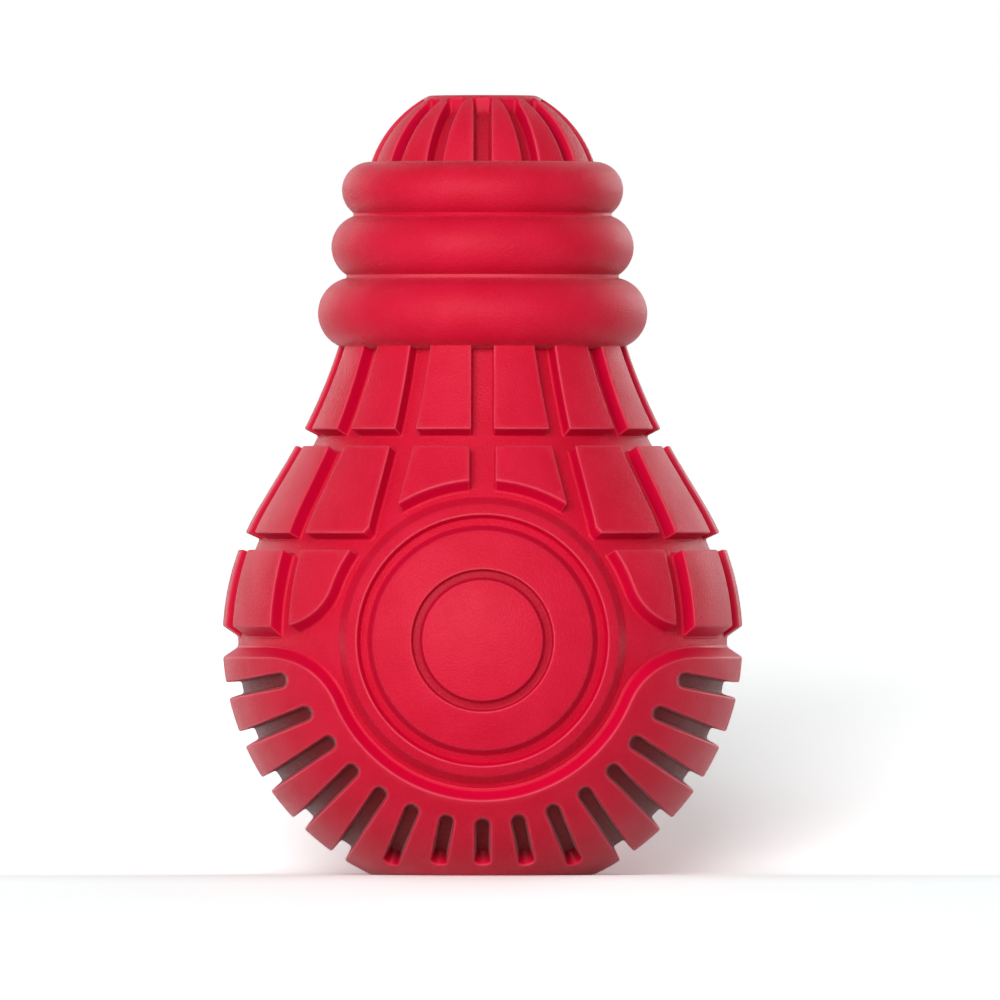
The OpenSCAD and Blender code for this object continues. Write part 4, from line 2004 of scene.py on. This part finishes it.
@dataclass
class Studio:
    """The white floor, the lamps, the surround and the camera."""

    pixel: float = 0.16046
    picture: int = 1000
    axis_x_px: float = 482.6
    base_y_px: float = 874.5
    distance: float = 6.0
    level_y: float = 0.018
    slope_front: float = 0.12
    slope_back: float = 0.2
    floor_side: float = 1.2
    floor_front: float = 0.35
    floor_back: float = 0.6
    paper: tuple[float, float, float] = (0.6, 0.6, 0.6)
    paper_front: tuple[float, float, float] = (1.88, 2.0, 2.0)
    paper_back: tuple[float, float, float] = (2.6, 2.65, 2.65)
    bend_points: int = 6
    sensor_w: float = 36.0
    surround_light: float = 0.12
    lamp_distance: float = 1.5
    lamp_size: float = 0.9
    aim_z: float = 0.06
    lamps: tuple[Lamp, ...] = (
        Lamp("key_lamp", -11.0, 15.0, 17.2), Lamp("left_fill", -45.0, 10.0, 2.6),
        Lamp("right_fill", 40.0, 10.0, 1.5), Lamp("top_lamp", 0.0, 85.0, 0.4),
        Lamp("rear_left_lamp", -140.0, 8.0, 4.6), Lamp("rear_right_lamp", 140.0, 8.0, 9.0))

    def build(self) -> None:
        """Puts everything round the toy into the scene."""
        self._floor()
        self._lamps()
        self._camera()
        log.info("studio: floor, lamps and camera")

    def _floor(self) -> None:
        """A sheet of paper, level under the toy, that falls to the front and rises behind."""
        front = self._slope(self.slope_front, self.floor_front)
        back = self._slope(self.slope_back, self.floor_back)
        line = [(-y, -z) for y, z in front[::-1]] + back
        points = [(side * self.floor_side, y, z) for y, z in line for side in (-1, 1)]
        faces = [(2 * i, 2 * i + 1, 2 * i + 3, 2 * i + 2) for i in range(len(line) - 1)]
        mesh = bpy.data.meshes.new("floor")
        mesh.from_pydata(points, [], faces)
        mesh.shade_smooth()
        mesh.materials.append(self._paper())
        obj = bpy.data.objects.new("floor", mesh)
        bpy.context.scene.collection.objects.link(obj)

    def _slope(self, slope: float, end: float) -> list[tuple[float, float]]:
        """The paper's line on one side of the toy, level at first and then bent into a slope.

        Args:
            slope: How much it climbs or falls over its distance.
            end: Distance where it ends.

        Returns:
            Distance and height of its points.
        """
        bent = [(self.level_y * (1 + s), slope * self.level_y * s * s / 2)
                for s in np.linspace(0, 1, self.bend_points)]
        y, z = bent[-1]
        return bent + [(end, z + slope * (end - y))]

    def _paper(self) -> bpy.types.Material:
        """Makes the white paper, which takes the toy's shadow.

        Returns:
            A material that is clear where the paper is seen from behind.
        """
        material = bpy.data.materials.new("white_paper")
        material.use_nodes = True
        tree = NodeTree(material.node_tree)
        material.node_tree.nodes.remove(material.node_tree.nodes["Principled BSDF"])
        paper = tree.node("ShaderNodeBsdfDiffuse")
        split = tree.node("ShaderNodeSeparateXYZ")
        tree.join(tree.node("ShaderNodeTexCoord").outputs["Object"], split.inputs[0])
        behind = tree.ramp(split.outputs["Y"], -self.level_y, 2 * self.level_y)
        seen = tree.blend(behind, self.paper_front, self.paper_back)
        tree.join(tree.blend(self._seen(tree), self.paper, seen), paper.inputs["Color"])
        clear = tree.node("ShaderNodeBsdfTransparent")
        mix = tree.node("ShaderNodeMixShader")
        tree.join(tree.node("ShaderNodeNewGeometry").outputs["Backfacing"], mix.inputs[0])
        tree.join(paper.outputs[0], mix.inputs[1])
        tree.join(clear.outputs[0], mix.inputs[2])
        tree.join(mix.outputs[0], material.node_tree.nodes["Material Output"].inputs["Surface"])
        return material

    @staticmethod
    def _seen(tree: NodeTree) -> bpy.types.NodeSocket:
        """Tells what is seen from what only lights the toy.

        Args:
            tree: The tree that the nodes are added to.

        Returns:
            A socket with 1 for camera rays, also reflected ones, and 0 for the others.
        """
        rays = tree.node("ShaderNodeLightPath").outputs
        return tree.maths("MAXIMUM", rays["Is Camera Ray"],
                          tree.maths("MAXIMUM", rays["Is Glossy Ray"],
                                     rays["Is Transmission Ray"]))

    def _lamps(self) -> None:
        """Broad lamps on all sides, most of all in front, and an even surround, seen white."""
        for lamp in self.lamps:
            self._lamp(lamp)
        world = bpy.data.worlds.new("surround")
        world.use_nodes = True
        tree = NodeTree(world.node_tree)
        background = world.node_tree.nodes["Background"]
        background.inputs["Color"].default_value = (1, 1, 1, 1)
        tree.join(tree.scaled(self._seen(tree), 1.0 - self.surround_light, self.surround_light),
                  background.inputs["Strength"])
        bpy.context.scene.world = world

    def _lamp(self, lamp: Lamp) -> None:
        """Puts a lamp up, turned towards the toy's middle.

        Args:
            lamp: Its name, its place and its power.
        """
        data = bpy.data.lights.new(lamp.name, "AREA")
        data.size, data.energy = self.lamp_size, lamp.power
        obj = bpy.data.objects.new(lamp.name, data)
        round_toy, over = math.radians(lamp.azimuth), math.radians(lamp.height)
        away = Vector((math.sin(round_toy) * math.cos(over),
                       -math.cos(round_toy) * math.cos(over), math.sin(over)))
        obj.location = Vector((0, 0, self.aim_z)) + self.lamp_distance * away
        obj.rotation_euler = away.to_track_quat("Z", "Y").to_euler()
        bpy.context.scene.collection.objects.link(obj)

    def _camera(self) -> None:
        """A level camera with a long lens, framed as the photograph is."""
        middle = self.picture / 2
        data = bpy.data.cameras.new("camera")
        data.sensor_width = self.sensor_w
        data.lens = data.sensor_width * self.distance / (self.picture * self.pixel * MM)
        obj = bpy.data.objects.new("camera", data)
        obj.location = ((middle - self.axis_x_px) * self.pixel * MM, -self.distance,
                        (self.base_y_px - middle) * self.pixel * MM)
        obj.rotation_euler = (math.pi / 2, 0, 0)
        bpy.context.scene.collection.objects.link(obj)
        bpy.context.scene.camera = obj
        bpy.context.scene.view_settings.view_transform = "Standard"


def pieces() -> list[Piece]:
    """Names every form of the moulding, from the base up.

    Returns:
        The pieces, not yet built.
    """
    skirt = Skirt("slotted_skirt_form", ("slotted_skirt",))
    lower, middle, upper = TREADS.lower_row, TREADS.middle_row, TREADS.upper_row
    low_foot = BODY_SIZES.globe_z + TREADS.lower_foot_rise
    made: list[Piece] = [
        Shell("globe_shell_form", ("globe_shell",), skirt=skirt),
        Lip("base_lip_form", ("base_lip",)),
        skirt,
        LowerRow("lower_treads", ("lower_tread_blocks",), *lower, low_foot_z=low_foot),
        MiddleRow("middle_treads", ("middle_tread_blocks",), *middle),
        TreadRow("upper_treads", ("upper_tread_blocks",), *upper, gap_w=3.55),
    ]
    for side in Side:
        word = side.name.lower()
        made.append(MedallionDisc(f"{word}_disc", (f"{word}_medallion_disc",), side=side))
        made.append(MedallionRim(f"{word}_rim", (f"{word}_medallion_rim",), side=side))
    made.append(NeckCore("neck", ("neck_core",)))
    for number, word in enumerate(("lower", "middle", "upper")):
        made.append(CollarRing(f"{word}_ring", (f"{word}_collar_ring",), number=number))
    made.append(Cap("cap", ("cap_dome", "cap_ribs")))
    return made


def main() -> None:
    """Builds the toy piece by piece, then the studio."""
    logging.basicConfig(level=logging.INFO, format="%(message)s")
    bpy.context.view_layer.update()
    rubber = rubber_material(RubberFinish())
    for piece in pieces():
        piece.build(rubber)
    Studio().build()


if __name__ == "__main__":
    main()
